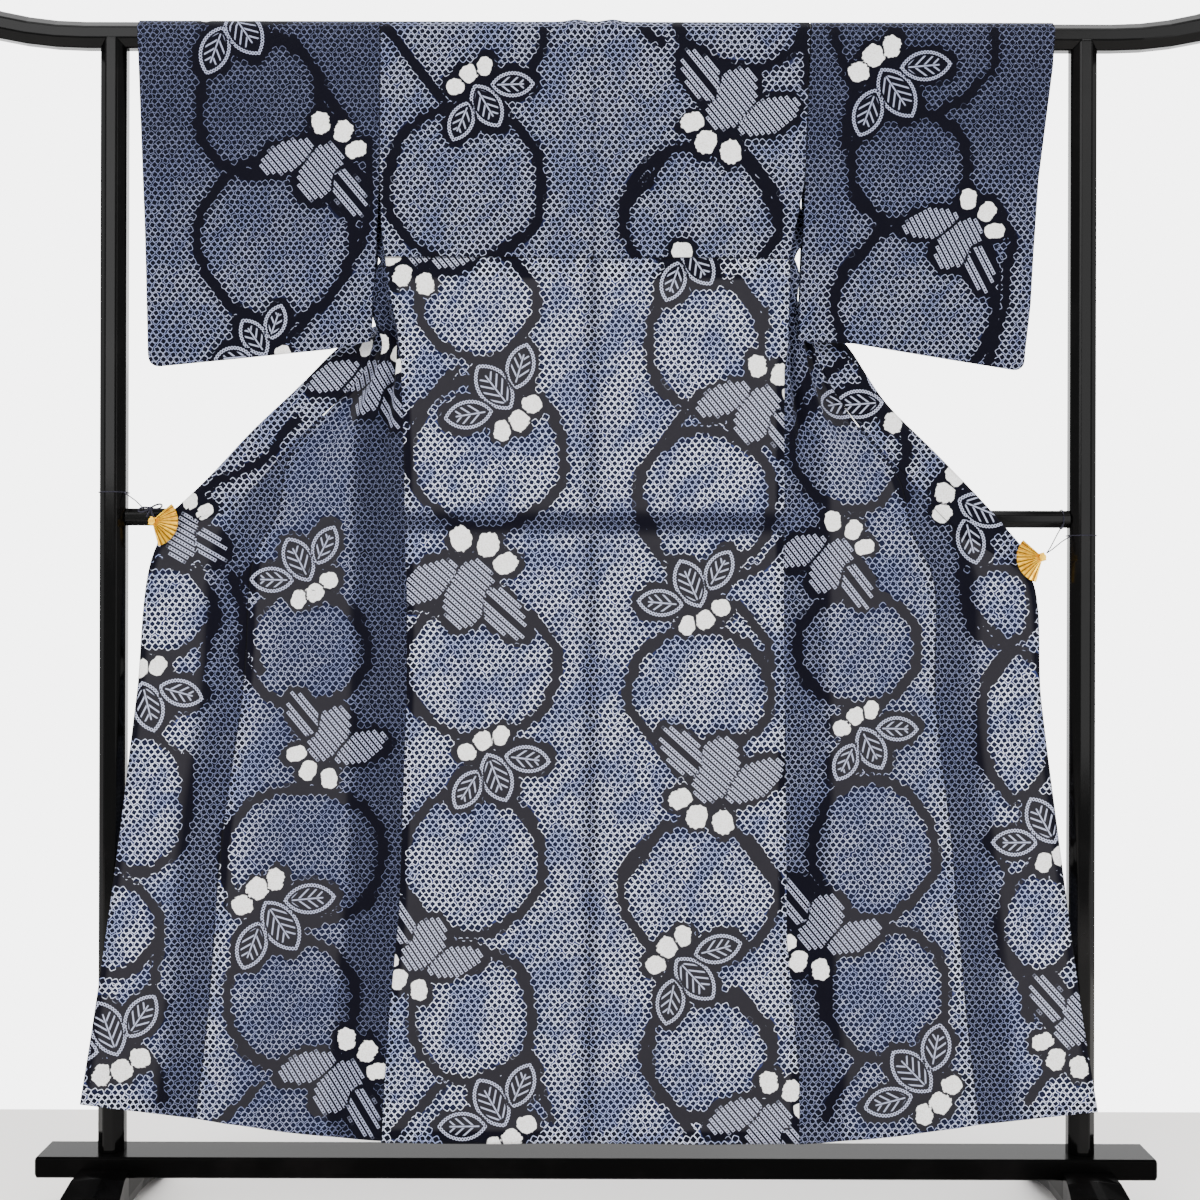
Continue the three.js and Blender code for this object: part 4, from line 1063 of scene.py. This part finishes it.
# Layers: painted shade. Where cloth lies double its plain ground is painted black, and painted shade
# darkens the deep fields, where more cloth behind lets less light through
HEM = 18.0
ALLOWANCE = 11.0  # seam allowance behind a seam
TUCK_HEIGHT = 33
CREASE_WIDTH, CREASE_SHADE = 13, 0.45  # painted shade along the pressed fold down the centre back
RAIL_Z, RAIL_WIDTH, RAIL_SHADOW = 1004.6, 17, 0.85  # painted shadow of the crossbar through the back
# Painted shade on the back above its tuck
YOKE_SHADE = 0.36
FRONT_SHADE = {"left": 82.0, "right": 68.0}  # reach of painted shade where the front lies over more cloth
# Strength of the fronts' painted shade there, and of painted shade along a fold in each front
FRONT_SHADE_STRENGTH = {"left": 1.0, "right": 0.7}
FRONT_FOLD_SHADE = {"left": 0.55, "right": 0.35}
FOLD_AT, FOLD_WIDTH = 130, 95
# Reach and strength of painted shade along the overlap panel's inner seam
OVERLAP_SHADE, OVERLAP_SHADE_STRENGTH = 62.0, 0.8
# Painted shade on the sleeves: a base, and more towards their tops from a height over a span
SLEEVE_SHADE, SLEEVE_TOP_SHADE, SLEEVE_SHADE_Z, SLEEVE_SHADE_HEIGHT = 0.45, 0.5, 1350, 230
# Painted shade on the collar
COLLAR_SHADE = 0.25
TUCK_SEAM, SEAM_SIDE, SLEEVE_SEAM, EDGE_SEAM = 0.6, 0.4, 0.6, 0.5  # how near an edge's line comes


def stack(double_shade, painted_shade, seam):
    layers = np.broadcast_arrays(np.asarray(double_shade, float), painted_shade, seam)
    return np.stack(layers, axis=-1).reshape(-1, 3)


def shaded(distance, reach, softness):
    """1 up to a reach and 0 beyond, softly."""
    return 1 / (1 + np.exp((distance - reach) / softness))


def back_layers(side, points):
    x, z = points[:, :, 0], points[:, :, 2]
    middle = np.abs(x - np.vectorize(centre_x)(z))
    edge = np.abs(x - x[:, :1])
    # Painted shade along the centre back's fold, and painted shadow of the crossbar
    crease_shade = CREASE_SHADE * np.exp(-((middle / CREASE_WIDTH) ** 2))
    rail_shadow = np.exp(-(((z - RAIL_Z) / RAIL_WIDTH) ** 4))
    # Painted black ground where the back lies double: above the tuck, at the hem and along the seam
    # allowances; the crossbar's painted shadow adds to it
    doubled_shade = (z > TUCK_Z - TUCK_HEIGHT) | (z < HEM_Z + HEM) | (middle < ALLOWANCE) | (edge < ALLOWANCE)
    seam = np.minimum(np.minimum(middle, np.abs(z - TUCK_Z + TUCK_SEAM)), edge + EDGE_SEAM)
    painted_shade = np.maximum(np.maximum(RAIL_SHADOW * rail_shadow, YOKE_SHADE * (z > TUCK_Z)), crease_shade)
    return stack(np.maximum(doubled_shade, rail_shadow), painted_shade, seam)


def front_layers(side, points, arcs):
    z = points[:, :, 2]
    tuck = np.abs(z - FRONT_TUCK_Z[side])
    end = arcs[:, -1:] - arcs
    reach = FRONT_SHADE[side]
    # Painted black ground where the front lies over more cloth, at the hem and at its end, and painted
    # shade over that strip and along a fold
    doubled_shade = np.maximum(shaded(arcs, reach, 1.5), (z < HEM_Z + HEM) | (end < ALLOWANCE))
    lower = np.where(arcs > reach + 12, tuck, FAR)
    seam = np.minimum(np.minimum(arcs + SEAM_SIDE, lower), end)
    fold_shade = FRONT_FOLD_SHADE[side] * np.exp(-(((arcs - FOLD_AT) / FOLD_WIDTH) ** 4))
    return stack(doubled_shade, np.maximum(FRONT_SHADE_STRENGTH[side] * shaded(arcs, reach, 5), fold_shade), seam)


def overlap_layers(points):
    z = points[:, :, 2]
    inner = np.linalg.norm(points - points[:, :1], axis=2)
    outer = np.linalg.norm(points - points[:, -1:], axis=2)
    # Painted black ground along the inner seam, the outer edge and the hem, and painted shade along the
    # inner seam
    doubled_shade = np.maximum(shaded(inner, OVERLAP_SHADE, 1.5), (outer < ALLOWANCE) | (z < z[-1] + HEM))
    seam = np.minimum(inner, outer + SEAM_SIDE)
    return stack(doubled_shade, OVERLAP_SHADE_STRENGTH * shaded(inner, OVERLAP_SHADE, 6), seam)


def cloth_piece(name, points, faces, cloth, regions, layers, size, thickness=SKIN, **cut):
    """Make one piece of the garment from its grid, with its pattern and look; size and cut are not
    used.
    """
    mesh = bpy.data.meshes.new(name)
    mesh.from_pydata([tuple(p) for p in points.reshape(-1, 3) * MM], [], faces)
    mesh.update()
    for polygon in mesh.polygons:
        polygon.use_smooth = True
    paint(mesh, np.array(faces), cloth.reshape(-1, 2), regions, layers)
    mesh.materials.append(COTTON)
    piece = add_object(name, mesh)
    skin = piece.modifiers.new("layer", "SOLIDIFY")
    skin.thickness = thickness * MM
    skin.offset = 0
    skin.use_even_offset = False
    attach(piece, "root")
    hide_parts(name.replace("_cloth", ""))
    return piece


for side in SIDES:
    flip = side == "right"
    back, back_cloth = back_grid(side)
    front, front_cloth, arcs = front_grid(side)
    faces = grid_faces(back, flip=flip)
    backs = len(faces)
    faces += grid_faces(front, base=back.shape[0] * back.shape[1], flip=flip)
    points = np.concatenate([back.reshape(-1, 3), front.reshape(-1, 3)])
    cloth = np.concatenate([back_cloth.reshape(-1, 2), front_cloth.reshape(-1, 2)])
    above = face_middles(faces, cloth)[:, 1] > TUCK_Z
    regions = np.where(above, f"back_{side}_top", f"back_{side}")
    regions[backs:] = f"front_{side}"
    layers = np.concatenate([back_layers(side, back), front_layers(side, front, arcs)])
    cut = {"size": (0.310, 3.260), "rests_on": ["top_bar"]}
    body = cloth_piece(f"body_cloth_{side}", points, faces, cloth, regions, layers, **cut)

    panel = overlap_grid(side)
    faces, cloth = grid_faces(panel, flip=flip), panel[:, :, [0, 2]]
    look = (f"front_{side}", overlap_layers(panel))
    cut = {"size": (0.171, 1.120), "rests_on": [body.name], "area": 0.136}
    cloth_piece(f"overlap_cloth_{side}", panel, faces, cloth, *look, **cut)

    tube = sleeve_grid(side)
    faces, cloth = grid_faces(tube, ring=True, flip=flip), tube[:, :, [0, 2]]
    away = np.linalg.norm(tube - tube[-1:], axis=2)
    # Sleeves lie double everywhere, with painted shade stronger towards their tops
    rise = np.clip((tube[:, :, 2] - SLEEVE_SHADE_Z) / SLEEVE_SHADE_HEIGHT, 0, 1)
    layers = stack(1.0, SLEEVE_SHADE + SLEEVE_TOP_SHADE * rise, away + SLEEVE_SEAM)
    cut = {"size": (0.350, 0.995), "rests_on": ["top_bar"]}
    cloth_piece(f"sleeve_cloth_{side}", tube, faces, cloth, f"sleeve_{side}", layers, **cut)

strip = collar_grid()
faces, cloth = grid_faces(strip), strip[:, :, [0, 2]]
reach = np.linalg.norm(strip - strip[:, :1], axis=2)
across = cloth[:, -1:] - cloth[:, :1]
across = across / np.linalg.norm(across, axis=2, keepdims=True)
regions = np.where(face_middles(faces, cloth)[:, 0] < 0, "front_left", "front_right")
cloth = cloth[:, :1] + reach[:, :, None] * across
# The collar lies double, with a little painted shade
look = (regions, stack(1.0, COLLAR_SHADE, reach + EDGE_SEAM))
cut = {"size": (0.058, 2.110), "thickness": COLLAR_SKIN, "rests_on": ["top_bar", "clip_jaw_left"]}
cloth_piece("collar_cloth", strip, faces, cloth, *look, **cut)

RACK_LOOKS = {
    "top_bar crossbar post_left post_right": LACQUER,
    "base_beam foot_left foot_right": BASE_LACQUER,
    "clip_fan_left clip_fan_right clip_jaw_left clip_jaw_right": GILT,
    "clip_tie_left clip_tie_right clip_bow_left": CORD,
}
for names, material in RACK_LOOKS.items():
    for name in names.split():
        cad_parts[name].data.materials[0] = material

FLOOR_WIDTH, FLOOR_DEPTH, FLOOR_Y = 7.0, 2.6, -0.85
GLOW = {"From Min": 0.7, "From Max": 0.86, "To Min": 0.75, "To Max": 5.5}
AIM = Vector((0, 0, 0.9))
LIGHTS = (  # name, place, size, power
    ("key", (-2.3, -3.0, 2.6), 2.8, 175), ("fill", (2.6, -2.7, 1.6), 2.8, 110),
    ("back", (1.5, 3.5, 3.0), 2.5, 60), ("top", (0, 0.4, 4.6), 4.0, 185),
)
CAMERA_AT, CAMERA_ROLL, CAMERA_LENS, CAMERA_SENSOR = (0.0036, -2.2, 0.893), -0.15, 45.47, 36


def stage():
    """Pale floor, a wall of light behind the garment, four soft lamps and the photo's camera."""
    bpy.ops.mesh.primitive_plane_add(size=1, location=(0, FLOOR_Y, 0))
    floor = bpy.context.object
    floor.scale = (FLOOR_WIDTH, FLOOR_DEPTH, 1)
    floor.name = "floor"
    floor.data.materials.append(pale_floor())
    world = bpy.data.worlds.new("studio")
    bpy.context.scene.world = world
    world.use_nodes = True
    nodes, links = world.node_tree.nodes, world.node_tree.links
    background = nodes["Background"]
    way = nodes.new("ShaderNodeTexCoord")
    parts = nodes.new("ShaderNodeSeparateXYZ")
    glow = nodes.new("ShaderNodeMapRange")
    glow.interpolation_type = "SMOOTHSTEP"
    links.new(way.outputs["Generated"], parts.inputs[0])
    links.new(parts.outputs["Y"], glow.inputs["Value"])
    for name, number in GLOW.items():
        glow.inputs[name].default_value = number
    links.new(glow.outputs[0], background.inputs["Strength"])
    background.inputs["Color"].default_value = (1, 1, 1, 1)
    for name, place, size, power in LIGHTS:
        light = bpy.data.lights.new(name, "AREA")
        light.size = size
        light.energy = power
        turn = (AIM - Vector(place)).to_track_quat("-Z", "Y").to_euler()
        add_object(name, light, place, turn)
    camera = bpy.data.cameras.new("photo camera")
    camera.sensor_width = CAMERA_SENSOR
    camera.lens = CAMERA_LENS
    turn = (math.pi / 2, math.radians(CAMERA_ROLL), 0)
    bpy.context.scene.camera = add_object("photo camera", camera, CAMERA_AT, turn)


stage()
